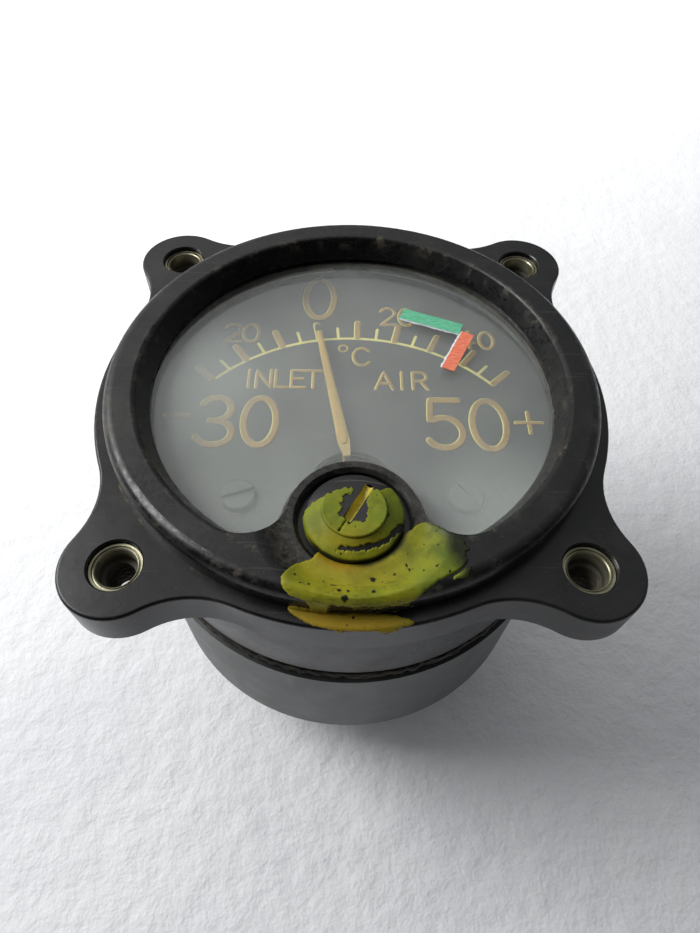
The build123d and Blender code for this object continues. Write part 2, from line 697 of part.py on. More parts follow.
# Hub: the pointer's arm, two balance arms and the collet of the upper spring
with BuildPart() as pointer_hub:
    with BuildSketch(along_pointer(hub_bottom)):
        Circle(HUB_DIAMETER / 2)
        Rectangle(2 * riser_r, RISER_RADIUS + riser_r, align=(Align.CENTER, Align.MIN))
        Rectangle(BALANCE_ARM_WIDTH, BALANCE_ARM_LENGTH, align=(Align.CENTER, Align.MAX))
        Rectangle(BALANCE_ARM_LENGTH, BALANCE_ARM_WIDTH, align=(Align.MIN, Align.CENTER))
    extrude(amount=HUB_THICKNESS)
    with BuildSketch(at_pivot(hub_top)):
        Circle(collet_r)
    extrude(amount=upper_spring_top - hub_top)
    with BuildSketch(at_pivot(hub_bottom)):
        Circle(staff_r + PRESS_GAP)
    extrude(amount=upper_spring_top - hub_bottom, mode=Mode.SUBTRACT)
save(pointer_hub, "pointer_hub")

# Balance weights, each a small sleeve on its arm
weight_place = BALANCE_ARM_LENGTH - WEIGHT_LENGTH / 2
weight_axis_level = (hub_top + hub_bottom) / 2
for number, turn in enumerate((180, -90), start=1):
    weight_plane = along_pointer(weight_axis_level).rotated((0, 0, turn))
    weight_section = Plane(
        origin=weight_plane.from_local_coords((0, weight_place - WEIGHT_LENGTH / 2, 0)),
        x_dir=weight_plane.x_dir,
        z_dir=weight_plane.y_dir,
    )
    with BuildPart() as balance_weight:
        with BuildSketch(weight_section):
            Circle(WEIGHT_DIAMETER / 2)
            Rectangle(
                BALANCE_ARM_WIDTH + 2 * PRESS_GAP,
                HUB_THICKNESS + 2 * PRESS_GAP,
                mode=Mode.SUBTRACT,
            )
        extrude(amount=WEIGHT_LENGTH)
    save(balance_weight, f"balance_weight_{number}")

# Staff halves: a foot on the coil, a shaft and a pivot that turns in the jewel
with BuildPart() as upper_staff:
    with BuildSketch(pivot_section):
        with BuildLine():
            Polyline(
                (0, coil_top),
                (STAFF_FOOT_DIAMETER / 2, coil_top),
                (STAFF_FOOT_DIAMETER / 2, coil_top + STAFF_FOOT_THICKNESS),
                (staff_r, coil_top + STAFF_FOOT_THICKNESS),
                (staff_r, upper_screw_bottom - END_PLAY),
                (pivot_r, upper_screw_bottom - END_PLAY),
                (pivot_r, upper_screw_bottom + PIVOT_LENGTH),
                (0, upper_screw_bottom + PIVOT_LENGTH),
                close=True,
            )
        make_face()
    revolve(axis=pivot_axis)
save(upper_staff, "upper_staff")

with BuildPart() as lower_staff:
    with BuildSketch(pivot_section):
        with BuildLine():
            Polyline(
                (0, coil_bottom),
                (STAFF_FOOT_DIAMETER / 2, coil_bottom),
                (STAFF_FOOT_DIAMETER / 2, coil_bottom - STAFF_FOOT_THICKNESS),
                (collet_r, coil_bottom - STAFF_FOOT_THICKNESS),
                (collet_r, lower_spring_bottom),
                (staff_r, lower_spring_bottom),
                (staff_r, lower_screw_top + END_PLAY),
                (pivot_r, lower_screw_top + END_PLAY),
                (pivot_r, lower_screw_top - PIVOT_LENGTH),
                (0, lower_screw_top - PIVOT_LENGTH),
                close=True,
            )
        make_face()
    revolve(axis=pivot_axis)
save(lower_staff, "lower_staff")

# Coil: a bent metal frame with the winding round it, seen from its broad side
coil_middle = (coil_top + coil_bottom) / 2
coil_height = coil_top - coil_bottom
coil_turn = radians(POINTER_REST)
coil_plane = Plane(
    origin=(0, -PIVOT_OFFSET, coil_middle),
    x_dir=(cos(coil_turn), sin(coil_turn), 0),
    z_dir=(sin(coil_turn), -cos(coil_turn), 0),
)
with BuildPart() as coil_former:
    with BuildSketch(coil_plane):
        Rectangle(2 * former_outer_x, coil_height - 2 * WINDING_WALL)
        Rectangle(
            2 * former_inner_x,
            coil_height - 2 * WINDING_WALL - 2 * FORMER_WALL,
            mode=Mode.SUBTRACT,
        )
    extrude(amount=COIL_WIDTH / 2, both=True)
save(coil_former, "coil_former")

with BuildPart() as coil_winding:
    with BuildSketch(coil_plane):
        RectangleRounded(2 * winding_outer_x, coil_height, WINDING_WALL)
        Rectangle(
            2 * former_outer_x,
            coil_height - 2 * WINDING_WALL,
            mode=Mode.SUBTRACT,
        )
    extrude(amount=COIL_WIDTH / 2 - WINDING_INSET, both=True)
save(coil_winding, "coil_winding")


def spiral_point(turn, side):
    """Point of the hairspring's strip after so many turns, on its outer (1) or inner (-1) side."""
    start = collet_r + SPRING_END_GAP + SPRING_STRIP / 2
    end = SPRING_OUTER_RADIUS - SPRING_STRIP / 2
    radius = start + (end - start) * turn / SPRING_TURNS + side * SPRING_STRIP / 2
    angle = -pi / 2 - 2 * pi * (SPRING_TURNS - turn)
    return (radius * cos(angle), radius * sin(angle))


spiral_steps = [SPRING_TURNS * step / 39 for step in range(40)]
for node, level in (("upper_hairspring", upper_spring_bottom), ("lower_hairspring", lower_spring_bottom)):
    with BuildPart() as hairspring:
        with BuildSketch(at_pivot(level)):
            with BuildLine():
                outside = Spline([spiral_point(turn, 1) for turn in spiral_steps])
                inside = Spline([spiral_point(turn, -1) for turn in spiral_steps])
                Line(outside @ 0, inside @ 0)
                Line(outside @ 1, inside @ 1)
            make_face()
        extrude(amount=SPRING_HEIGHT)
    save(hairspring, node)

# Bridges: a strap over the coil with a leg on each pole piece and a tapped middle
bridge_half = pole_outer_x - BRIDGE_INSET
leg_width = POLE_WALL - 2 * BRIDGE_INSET
with BuildPart() as upper_bridge:
    with BuildSketch(at_pivot(upper_bridge_bottom)):
        Rectangle(2 * bridge_half, BRIDGE_WIDTH)
        Circle(jewel_screw_r + THREAD_GAP, mode=Mode.SUBTRACT)
    extrude(amount=BRIDGE_THICKNESS)
    with BuildSketch(at_pivot(pole_top)):
        with GridLocations(2 * bridge_half - leg_width, 0, 2, 1):
            Rectangle(leg_width, BRIDGE_WIDTH)
    extrude(amount=upper_bridge_bottom - pole_top)
save(upper_bridge, "upper_bridge")

with BuildPart() as lower_bridge:
    with BuildSketch(at_pivot(lower_bridge_bottom)):
        Rectangle(2 * bridge_half, BRIDGE_WIDTH)
        with Locations((0, -lug_place / 2)):
            Rectangle(BRIDGE_WIDTH, lug_place + 2 * lug_r)
        Circle(jewel_screw_r + THREAD_GAP, mode=Mode.SUBTRACT)
    extrude(amount=BRIDGE_THICKNESS)
    with BuildSketch(at_pivot(lower_bridge_top)):
        with GridLocations(2 * bridge_half - leg_width, 0, 2, 1):
            Rectangle(leg_width, BRIDGE_WIDTH)
    extrude(amount=pole_bottom - lower_bridge_top)
    with BuildSketch(at_pivot(lower_bridge_top)):
        with Locations((0, -lug_place)):
            Circle(lug_r)
    extrude(amount=lower_spring_top - lower_bridge_top)
save(lower_bridge, "lower_bridge")

# Jewel screws: a slotted threaded body with a cup for the pivot at its inner end
upper_screw_top = arm_top + JEWEL_SCREW_HEIGHT - ARM_THICKNESS
with BuildPart() as upper_jewel_screw:
    with BuildSketch(at_pivot(upper_screw_bottom)):
        Circle(jewel_screw_r)
    extrude(amount=upper_screw_top - upper_screw_bottom)
    with BuildSketch(at_pivot(upper_screw_bottom)):
        Circle(pivot_r + RUNNING_GAP)
    extrude(amount=JEWEL_CUP_DEPTH, mode=Mode.SUBTRACT)
    with BuildSketch(at_pivot(upper_screw_top)):
        Rectangle(JEWEL_SCREW_DIAMETER, JEWEL_SLOT_WIDTH)
    extrude(amount=-JEWEL_SLOT_DEPTH, mode=Mode.SUBTRACT)
save(upper_jewel_screw, "upper_jewel_screw")

with BuildPart() as lower_jewel_screw:
    with BuildSketch(at_pivot(lower_screw_bottom)):
        Circle(jewel_screw_r)
    extrude(amount=lower_screw_top - lower_screw_bottom)
    with BuildSketch(at_pivot(lower_screw_top)):
        Circle(pivot_r + RUNNING_GAP)
    extrude(amount=-JEWEL_CUP_DEPTH, mode=Mode.SUBTRACT)
    with BuildSketch(at_pivot(lower_screw_bottom)):
        Rectangle(JEWEL_SCREW_DIAMETER, JEWEL_SLOT_WIDTH)
    extrude(amount=JEWEL_SLOT_DEPTH, mode=Mode.SUBTRACT)
save(lower_jewel_screw, "lower_jewel_screw")

# Iron core inside the coil, and the bracket that holds it from between the pole tips
with BuildPart() as core:
    with BuildSketch(at_pivot(core_bottom)):
        Circle(core_r)
    extrude(amount=CORE_LENGTH)
save(core, "core")

bracket_level = (core_top + core_bottom) / 2 - BRACKET_HEIGHT / 2
with BuildPart() as core_bracket:
    with BuildSketch(at_pivot(bracket_level)):
        with Locations((0, POLE_HALF_LENGTH)):
            Rectangle(2 * pole_outer_x, BRACKET_THICKNESS, align=(Align.CENTER, Align.MIN))
        Rectangle(TONGUE_WIDTH, POLE_HALF_LENGTH, align=(Align.CENTER, Align.MIN))
        Circle(core_r, mode=Mode.SUBTRACT)
    extrude(amount=BRACKET_HEIGHT)
save(core_bracket, "core_bracket")

# Pole pieces, one on each side of the coil, and the horseshoe magnet round them
for side, name in ((-1, "left"), (1, "right")):
    with BuildPart() as pole:
        with BuildSketch(at_pivot(pole_bottom)):
            with Locations((side * POLE_TIP_SPREAD / 2, 0)):
                Rectangle(
                    pole_outer_x - POLE_TIP_SPREAD / 2,
                    2 * POLE_HALF_LENGTH,
                    align=(Align.MIN if side > 0 else Align.MAX, Align.CENTER),
                )
            Circle(pole_bore_r, mode=Mode.SUBTRACT)
        extrude(amount=pole_height)
    save(pole, f"pole_{name}")

with BuildPart() as magnet:
    with BuildSketch(Plane.XY.offset(pole_bottom)):
        with Locations((0, -MAGNET_ARM_END)):
            Rectangle(
                2 * magnet_outer_x,
                MAGNET_ARM_END + MAGNET_BEND_PLACE,
                align=(Align.CENTER, Align.MIN),
            )
        with Locations((0, MAGNET_BEND_PLACE)):
            Circle(magnet_outer_x)
            Circle(pole_outer_x, mode=Mode.SUBTRACT)
        with Locations((0, -MAGNET_ARM_END)):
            Rectangle(
                2 * pole_outer_x,
                MAGNET_ARM_END + MAGNET_BEND_PLACE,
                align=(Align.CENTER, Align.MIN),
                mode=Mode.SUBTRACT,
            )
    extrude(amount=pole_height)
save(magnet, "magnet")

# Movement plate on the spacers of the case screws, with pillars that carry the magnet
plate_r = shell_inner_r - PLATE_GAP
with BuildPart() as movement_plate:
    with BuildSketch(Plane.XY.offset(plate_bottom)):
        Circle(plate_r)
        with Locations((0, -PIVOT_OFFSET)):
            Circle(PLATE_HOLE_DIAMETER / 2, mode=Mode.SUBTRACT)
        with post_places:
            Circle(screw_way_r, mode=Mode.SUBTRACT)
    extrude(amount=PLATE_THICKNESS)
save(movement_plate, "movement_plate")

pillar_places = (
    (-magnet_mid_x, -PILLAR_ARM_PLACE),
    (magnet_mid_x, -PILLAR_ARM_PLACE),
    (0, MAGNET_BEND_PLACE + magnet_mid_x),
)
for number, place in enumerate(pillar_places, start=1):
    with BuildPart() as plate_pillar:
        with BuildSketch(Plane.XY.offset(plate_top)):
            with Locations(place):
                Circle(PILLAR_DIAMETER / 2)
        extrude(amount=pole_bottom - plate_top)
    save(plate_pillar, f"plate_pillar_{number}")

for number, place in enumerate(post_places, start=1):
    with BuildPart() as plate_spacer:
        with BuildSketch(Plane.XY.offset(plate_top)):
            with Locations(place):
                Circle(post_r)
                Circle(screw_way_r, mode=Mode.SUBTRACT)
        extrude(amount=-SKIRT_LENGTH - plate_top)
    save(plate_spacer, f"plate_spacer_{number}")

# Resistor spools under the plate, each with its winding
for number, side in enumerate((-1, 1), start=1):
    spool_place = (side * SPOOL_SPREAD / 2, -SPOOL_PLACE)
    spool_bottom = plate_bottom - SPOOL_HEIGHT
    with BuildPart() as resistor_spool:
        with BuildSketch(Plane.XY.offset(spool_bottom)):
            with Locations(spool_place):
                Circle(SPOOL_DIAMETER / 2)
        extrude(amount=SPOOL_FLANGE)
        with BuildSketch(Plane.XY.offset(plate_bottom)):
            with Locations(spool_place):
                Circle(SPOOL_DIAMETER / 2)
        extrude(amount=-SPOOL_FLANGE)
        with BuildSketch(Plane.XY.offset(spool_bottom)):
            with Locations(spool_place):
                Circle(SPOOL_CORE / 2)
        extrude(amount=SPOOL_HEIGHT)
        with BuildSketch(Plane.XY.offset(spool_bottom)):
            with Locations(spool_place):
                Circle(SPOOL_HOLE / 2)
        extrude(amount=SPOOL_HEIGHT, mode=Mode.SUBTRACT)
    save(resistor_spool, f"resistor_spool_{number}")

    with BuildPart() as resistor_winding:
        with BuildSketch(Plane.XY.offset(spool_bottom + SPOOL_FLANGE)):
            with Locations(spool_place):
                Circle(SPOOL_DIAMETER / 2 - SPOOL_MARGIN)
                Circle(SPOOL_CORE / 2, mode=Mode.SUBTRACT)
        extrude(amount=SPOOL_HEIGHT - 2 * SPOOL_FLANGE)
    save(resistor_winding, f"resistor_winding_{number}")

# Gasket between the two halves of the case
with BuildPart() as body_gasket:
    with BuildSketch(Plane.XY.offset(shell_top)):
        Circle(shell_r - BODY_GASKET_INSET)
        Circle(post_circle_r + post_r + BODY_GASKET_GAP, mode=Mode.SUBTRACT)
    extrude(amount=BODY_GASKET_THICKNESS)
save(body_gasket, "body_gasket")

# Rear case: a round can with posts up to the movement plate
with BuildPart() as rear_shell:
    with BuildSketch(Plane.XZ) as shell_section:
        with BuildLine():
            Polyline(
                (0, SHELL_BACK_LEVEL),
                (shell_r, SHELL_BACK_LEVEL),
                (shell_r, shell_top),
                (shell_inner_r, shell_top),
                (shell_inner_r, back_inside),
                (0, back_inside),
                close=True,
            )
        make_face()
        fillet(shell_section.vertices().group_by(Axis.Y)[0].sort_by(Axis.X)[-1], SHELL_ROUNDING)
    revolve(axis=Axis.Z)
    with BuildSketch(Plane.XY.offset(back_inside)):
        with post_places:
            Circle(post_r)
            Rectangle(
                shell_r - SHELL_WALL / 2 - post_circle_r,
                RIB_THICKNESS,
                align=(Align.MIN, Align.CENTER),
            )
    extrude(amount=plate_bottom - back_inside)
    with BuildSketch(Plane.XY.offset(SHELL_BACK_LEVEL)):
        with post_places:
            Circle(screw_way_r)
    extrude(amount=plate_bottom - SHELL_BACK_LEVEL, mode=Mode.SUBTRACT)
    with BuildSketch(Plane.XY.offset(SHELL_BACK_LEVEL)):
        Circle(NECK_DIAMETER / 2 + PRESS_GAP)
    extrude(amount=SHELL_BACK, mode=Mode.SUBTRACT)
save(rear_shell, "rear_shell")

# Case screws, from the back up into the posts of the front case
for number, place in enumerate(post_places, start=1):
    with BuildPart() as case_screw:
        with BuildSketch(Plane.XY.offset(SHELL_BACK_LEVEL)):
            with Locations(place):
                Circle(CASE_SCREW_HEAD / 2)
        extrude(amount=-CASE_SCREW_HEAD_HEIGHT)
        screw_rim = case_screw.edges().group_by(Axis.Z)[0]
        fillet(screw_rim, CASE_SCREW_HEAD_HEIGHT / 4)
        with BuildSketch(Plane.XY.offset(SHELL_BACK_LEVEL)):
            with Locations(place):
                Circle(case_screw_r)
        extrude(amount=-SKIRT_LENGTH + CASE_SCREW_GRIP - SHELL_BACK_LEVEL)
        with BuildSketch(Plane.XY.offset(SHELL_BACK_LEVEL - CASE_SCREW_HEAD_HEIGHT)):
            with Locations(place):
                Rectangle(CASE_SCREW_HEAD, CASE_SCREW_SLOT)
        extrude(amount=CASE_SCREW_SLOT_DEPTH, mode=Mode.SUBTRACT)
    save(case_screw, f"case_screw_{number}")

# Receptacle: a flanged shell through the back, held by a nut outside it
socket_r = SOCKET_DIAMETER / 2
socket_bore_r = socket_r - SOCKET_WALL
neck_r = NECK_DIAMETER / 2
with BuildPart() as receptacle_shell:
    with BuildSketch(Plane.XZ) as receptacle_section:
        with BuildLine():
            Polyline(
                (socket_bore_r, socket_rim),
                (socket_r, socket_rim),
                (socket_r, nut_bottom - NUT_RUNOUT),
                (neck_r, nut_bottom - NUT_RUNOUT),
                (neck_r, back_inside),
                (SOCKET_FLANGE / 2, back_inside),
                (SOCKET_FLANGE / 2, back_inside + SOCKET_FLANGE_THICKNESS),
                (socket_bore_r, back_inside + SOCKET_FLANGE_THICKNESS),
                close=True,
            )
        make_face()
        chamfer(receptacle_section.vertices().group_by(Axis.Y)[0].sort_by(Axis.X)[-1], SOCKET_EDGE)
    revolve(axis=Axis.Z)
save(receptacle_shell, "receptacle_shell")

with BuildPart() as receptacle_nut:
    with BuildSketch(Plane.XY.offset(nut_bottom)):
        RegularPolygon(NUT_ACROSS_FLATS / 2, 6, major_radius=False)
        Circle(neck_r + THREAD_GAP, mode=Mode.SUBTRACT)
    extrude(amount=NUT_HEIGHT)
save(receptacle_nut, "receptacle_nut")

contact_places = PolarLocations(CONTACT_CIRCLE / 2, CONTACT_COUNT, start_angle=90)
contact_r = CONTACT_DIAMETER / 2
with BuildPart() as receptacle_insert:
    with BuildSketch(Plane.XY.offset(insert_face)):
        Circle(socket_bore_r - PRESS_GAP)
        with contact_places:
            Circle(contact_r + PRESS_GAP, mode=Mode.SUBTRACT)
    extrude(amount=back_inside + SOCKET_INSERT_BACK - insert_face)
save(receptacle_insert, "receptacle_insert")

for number, place in enumerate(contact_places, start=1):
    with BuildPart() as contact_pin:
        with BuildSketch(Plane.XY.offset(insert_face - CONTACT_SHOW)):
            with Locations(place):
                Circle(contact_r)
        extrude(amount=CONTACT_SHOW + back_inside + SOCKET_INSERT_BACK + CONTACT_TAIL - insert_face)
        contact_tip = contact_pin.edges().group_by(Axis.Z)[0]
        fillet(contact_tip, contact_r * 0.8)
    save(contact_pin, f"contact_pin_{number}")
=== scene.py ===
import logging
from dataclasses import dataclass
from enum import Enum

import bpy
import bmesh
import numpy as np
from mathutils import Matrix, Vector


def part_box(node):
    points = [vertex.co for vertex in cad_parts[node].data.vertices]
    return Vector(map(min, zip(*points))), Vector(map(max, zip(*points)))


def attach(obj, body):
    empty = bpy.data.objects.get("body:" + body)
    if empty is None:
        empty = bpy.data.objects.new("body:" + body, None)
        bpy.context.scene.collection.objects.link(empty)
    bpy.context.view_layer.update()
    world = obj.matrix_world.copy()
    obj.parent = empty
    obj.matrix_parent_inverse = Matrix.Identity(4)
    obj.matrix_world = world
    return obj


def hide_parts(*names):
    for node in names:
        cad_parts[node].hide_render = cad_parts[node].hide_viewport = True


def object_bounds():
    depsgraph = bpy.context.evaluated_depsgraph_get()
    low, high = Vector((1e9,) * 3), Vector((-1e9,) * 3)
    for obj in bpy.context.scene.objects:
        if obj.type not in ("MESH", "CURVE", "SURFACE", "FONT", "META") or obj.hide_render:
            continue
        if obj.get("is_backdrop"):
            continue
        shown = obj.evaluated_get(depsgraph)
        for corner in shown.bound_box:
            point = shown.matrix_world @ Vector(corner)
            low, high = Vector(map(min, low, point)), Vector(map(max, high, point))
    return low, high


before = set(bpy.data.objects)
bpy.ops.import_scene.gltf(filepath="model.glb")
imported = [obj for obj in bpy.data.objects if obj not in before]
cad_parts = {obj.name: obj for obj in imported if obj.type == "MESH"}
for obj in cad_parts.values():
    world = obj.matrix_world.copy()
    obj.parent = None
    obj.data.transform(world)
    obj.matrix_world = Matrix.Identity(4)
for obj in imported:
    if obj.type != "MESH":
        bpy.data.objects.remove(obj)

# Lengths in the classes are millimetres and angles are degrees.
# A piece is turned into metres when its mesh is made.
# The finishes' nodes work in metres, because Object coordinates are metres.
MM = 0.001
log = logging.getLogger("indicator")

# Cells along a side of the noise lattice
LATTICE = 60
# Points round the end of a paint stroke, and points across it
STROKE_END = 5
STROKE_SIDES = 9
# Creases sharper than this stay sharp on the turned metal pieces
SHARP_EDGE = 50

Tone = tuple[float, float, float]
Point = tuple[float, float, float]
Mesh = tuple[np.ndarray, np.ndarray]
Socket = bpy.types.NodeSocket


class Body(Enum):
    """The moving groups of the indicator that a piece can ride on."""

    CASE = "case"
    MOVEMENT = "pointer_movement"
    ZERO_SCREW = "zero_adjuster"


# Surfaces worked out with numpy


def rolling_noise(u: np.ndarray, v: np.ndarray, pitch: float, seed: int) -> np.ndarray:
    """Smooth random heights from -1 to 1.

    Random values stand on a square lattice of the given pitch, and a point takes the mix of
    the four around it, eased by 3t^2 - 2t^3 each way.

    Args:
        u: First coordinate of each point.
        v: Second coordinate of each point.
        pitch: Distance between lattice points.
        seed: Seed of the random values.

    Returns:
        One height for each point.
    """
    values = np.random.default_rng(seed).uniform(-1, 1, (LATTICE, LATTICE))
    x, y = u / pitch + 5 * LATTICE, v / pitch + 5 * LATTICE
    i, j = np.floor(x).astype(int), np.floor(y).astype(int)
    s, t = x - i, y - j
    s, t = s * s * (3 - 2 * s), t * t * (3 - 2 * t)
    i, j = i % LATTICE, j % LATTICE
    i2, j2 = (i + 1) % LATTICE, (j + 1) % LATTICE
    low = values[i, j] * (1 - s) + values[i2, j] * s
    high = values[i, j2] * (1 - s) + values[i2, j2] * s
    return low * (1 - t) + high * t


def ramp(values: np.ndarray, start: float, length: float) -> np.ndarray:
    """Straight rise from 0 at start to 1 a length on. A negative length gives a fall."""
    return np.clip((values - start) / length, 0, 1)


def bell(values: np.ndarray, middle: float, width: float) -> np.ndarray:
    """A bell of height 1: e to the power of minus the square of (values - middle) / width."""
    return np.exp(-(((values - middle) / width) ** 2))


def inside_distance(x: np.ndarray, y: np.ndarray, outline: np.ndarray) -> np.ndarray:
    """Signed distance of points to a closed outline, positive inside.

    The distance is the least one to any side, and a point is inside when a ray from it
    crosses the sides an odd number of times.

    Args:
        x: First coordinate of each point.
        y: Second coordinate of each point.
        outline: Corners of the outline, one row each.

    Returns:
        One distance for each point.
    """
    least = np.full(x.shape, np.inf)
    odd = np.zeros(x.shape, bool)
    for (ax, ay), (bx, by) in zip(outline, np.roll(outline, -1, axis=0)):
        run_x, run_y = bx - ax, by - ay
        share = ((x - ax) * run_x + (y - ay) * run_y) / (run_x**2 + run_y**2)
        share = np.clip(share, 0, 1)
        least = np.minimum(least, np.hypot(x - ax - share * run_x, y - ay - share * run_y))
        crosses = (ay > y) != (by > y)
        rise = np.where(by == ay, 1e-9, by - ay)
        odd ^= crosses & (x < ax + (y - ay) / rise * run_x)
    return np.where(odd, least, -least)


def smooth_outline(corners: list[tuple[float, float]], rounds: int = 2) -> np.ndarray:
    """Rounds an outline by cutting each corner at a quarter of its two sides.

    Args:
        corners: Corners of the closed outline.
        rounds: How many times the corners are cut.

    Returns:
        The rounded outline, one row for each corner.
    """
    outline = np.array(corners)
    for _ in range(rounds):
        onward = np.roll(outline, -1, axis=0)
        cuts = np.stack([outline * 0.75 + onward * 0.25, outline * 0.25 + onward * 0.75], 1)
        outline = cuts.reshape(-1, 2)
    return outline


def grid(rows: tuple[float, float, int], columns: tuple[float, float, int]) -> list[np.ndarray]:
    """Two coordinates over a grid, each from its start, its end and its number of places."""
    return np.meshgrid(np.linspace(*rows), np.linspace(*columns), indexing="ij")


def cells_shown(shown: np.ndarray) -> np.ndarray:
    """Cells of a grid with at least one of their four points shown."""
    return shown[:-1, :-1] | shown[1:, :-1] | shown[:-1, 1:] | shown[1:, 1:]


def strip_faces(rows: int, columns: int, wrap_rows: bool, wrap_columns: bool) -> np.ndarray:
    """Four-sided faces of a grid of points, row after row.

    Args:
        rows: Number of rows of points.
        columns: Number of points in a row.
        wrap_rows: Whether the last row joins the first.
        wrap_columns: Whether each row closes on itself.

    Returns:
        Four point numbers for each face.
    """
    i = np.arange(rows if wrap_rows else rows - 1)[:, None]
    j = np.arange(columns if wrap_columns else columns - 1)[None, :]
    i2, j2 = (i + 1) % rows, (j + 1) % columns
    corners = [i * columns + j, i * columns + j2, i2 * columns + j2, i2 * columns + j]
    return np.stack([np.broadcast_to(c, (i.size, j.size)) for c in corners], -1).reshape(-1, 4)


def closed_skin(top: np.ndarray, bottom: np.ndarray, keep: np.ndarray, wrap: bool = False) -> Mesh:
    """A thin closed shell over the kept cells of a grid.

    The top and the bottom sheets share one grid, and a wall stands on every side of a kept
    cell whose neighbour isn't kept.

    Args:
        top: Grid of points of the outer sheet, rows by columns by three.
        bottom: Grid of points of the inner sheet.
        keep: Which cells of the grid are kept.
        wrap: Whether the last row of points lies on the first.

    Returns:
        The used points and the faces.
    """
    rows, columns = top.shape[:2]
    under = rows * columns
    i, j = np.nonzero(keep)
    a = i * columns + j
    b, c, d = a + 1, a + columns + 1, a + columns
    faces = [np.stack([a, b, c, d], -1), np.stack([d, c, b, a], -1) + under]
    ringed = np.pad(keep, 1)
    if wrap:
        ringed[0, 1:-1], ringed[-1, 1:-1] = keep[-1], keep[0]
    sides = ((-1, 0, a, b), (0, 1, b, c), (1, 0, c, d), (0, -1, d, a))
    for step_i, step_j, start, end in sides:
        bare = ~ringed[i + 1 + step_i, j + 1 + step_j]
        start, end = start[bare], end[bare]
        faces.append(np.stack([end, start, start + under, end + under], -1))
    faces = np.concatenate(faces)
    used, faces = np.unique(faces, return_inverse=True)
    points = np.concatenate([top.reshape(-1, 3), bottom.reshape(-1, 3)])[used]
    return points, faces.reshape(-1, 4)


def paint_stroke(path: np.ndarray, width: float, crown: float, level: float, closed: bool) -> Mesh:
    """A stroke of paint along a flat path, flat below and crowned above.

    Across the stroke the height is the crown times a half sine to the power 0.35. At the open
    ends the width falls off as the square root of 1 - t^2, which makes them round.

    Args:
        path: Points of the path, one row each.
        width: Width of the stroke.
        crown: Height of the middle of the stroke above its foot.
        level: Level of the foot.
        closed: Whether the path closes on itself.

    Returns:
        The points and the faces.
    """
    if closed:
        run = np.roll(path, -1, axis=0) - np.roll(path, 1, axis=0)
        share = np.ones(len(path))
    else:
        ends = np.sin(np.linspace(0, np.pi / 2, STROKE_END + 1))[1:]
        first = path[0] - path[1]
        last = path[-1] - path[-2]
        first, last = first / np.hypot(*first), last / np.hypot(*last)
        head = path[0] + first * (ends[::-1, None] * width / 2)
        tail = path[-1] + last * (ends[:, None] * width / 2)
        fall = np.sqrt(np.clip(1 - ends**2, 0.002, 1))
        share = np.concatenate([fall[::-1], np.ones(len(path)), fall])
        path = np.concatenate([head, path, tail])
        run = np.gradient(path, axis=0)
    run /= np.hypot(run[:, 0], run[:, 1])[:, None]
    across = np.stack([-run[:, 1], run[:, 0]], -1)
    turn = np.linspace(0, np.pi, STROKE_SIDES)
    side, rise = np.cos(turn), np.sin(turn) ** 0.35
    reach = side[None, :, None] * share[:, None, None] * width / 2
    flat = path[:, None, :] + across[:, None, :] * reach
    height = level + crown * rise[None, :] * share[:, None] ** 0.5
    points = np.concatenate([flat, height[..., None]], -1)
    faces = strip_faces(len(path), STROKE_SIDES, closed, True)
    if not closed:
        start = (len(path) - 1) * STROKE_SIDES
        faces = np.concatenate([faces, end_cap(STROKE_SIDES), start + end_cap(STROKE_SIDES)])
    return points.reshape(-1, 3), faces


def end_cap(sides: int) -> np.ndarray:
    """Faces that close the end of a strip, from one side of its section to the other."""
    return np.array([[k, k + 1, sides - 2 - k, sides - 1 - k] for k in range(sides // 2)])


def turned_ring(section: np.ndarray, steps: int) -> Mesh:
    """A closed section of radius and level carried round the Z axis.

    Args:
        section: Corners of the section, or one section for each step.
        steps: Number of places round the axis.

    Returns:
        The points and the faces.
    """
    turn = np.arange(steps) * 2 * np.pi / steps
    section = np.broadcast_to(section, (steps,) + section.shape[-2:])
    radius, level = section[..., 0], section[..., 1]
    points = np.stack([radius * np.cos(turn)[:, None], radius * np.sin(turn)[:, None], level], -1)
    return points.reshape(-1, 3), strip_faces(steps, section.shape[1], True, True)


def joined(parts: list[Mesh]) -> Mesh:
    """Puts several meshes into one.

    Args:
        parts: Points and faces of each mesh.

    Returns:
        The points and the faces of all.
    """
    starts = np.cumsum([0] + [len(points) for points, _ in parts])
    points = np.concatenate([points for points, _ in parts])
    faces = np.concatenate([faces + start for (_, faces), start in zip(parts, starts)])
    return points, faces


def make_piece(
    name: str, mesh_parts: Mesh, finish: "Finish", body: Body, slot: str
) -> bpy.types.Object:
    """Makes a mesh piece in place, with its finish, riding on its body.

    Args:
        name: Name of the piece.
        mesh_parts: Points in millimetres, and the point numbers of each face.
        finish: The finish that dresses the piece.
        body: The body that the piece rides on.
        slot: Name of a material slot; not used.

    Returns:
        The new object.
    """
    points, faces = mesh_parts
    mesh = bpy.data.meshes.new(name)
    mesh.from_pydata((points * MM).tolist(), [], faces.tolist())
    work = bmesh.new()
    work.from_mesh(mesh)
    bmesh.ops.remove_doubles(work, verts=work.verts, dist=1e-7)
    bmesh.ops.dissolve_degenerate(work, dist=1e-8, edges=work.edges)
    bmesh.ops.recalc_face_normals(work, faces=work.faces)
    work.to_mesh(mesh)
    work.free()
    mesh.shade_smooth()
    piece = bpy.data.objects.new(name, mesh)
    bpy.context.scene.collection.objects.link(piece)
    mesh.materials.append(finish.material())
    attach(piece, body.value)
    log.info("%s: %d faces", name, len(mesh.polygons))
    return piece


# Nodes of the finishes


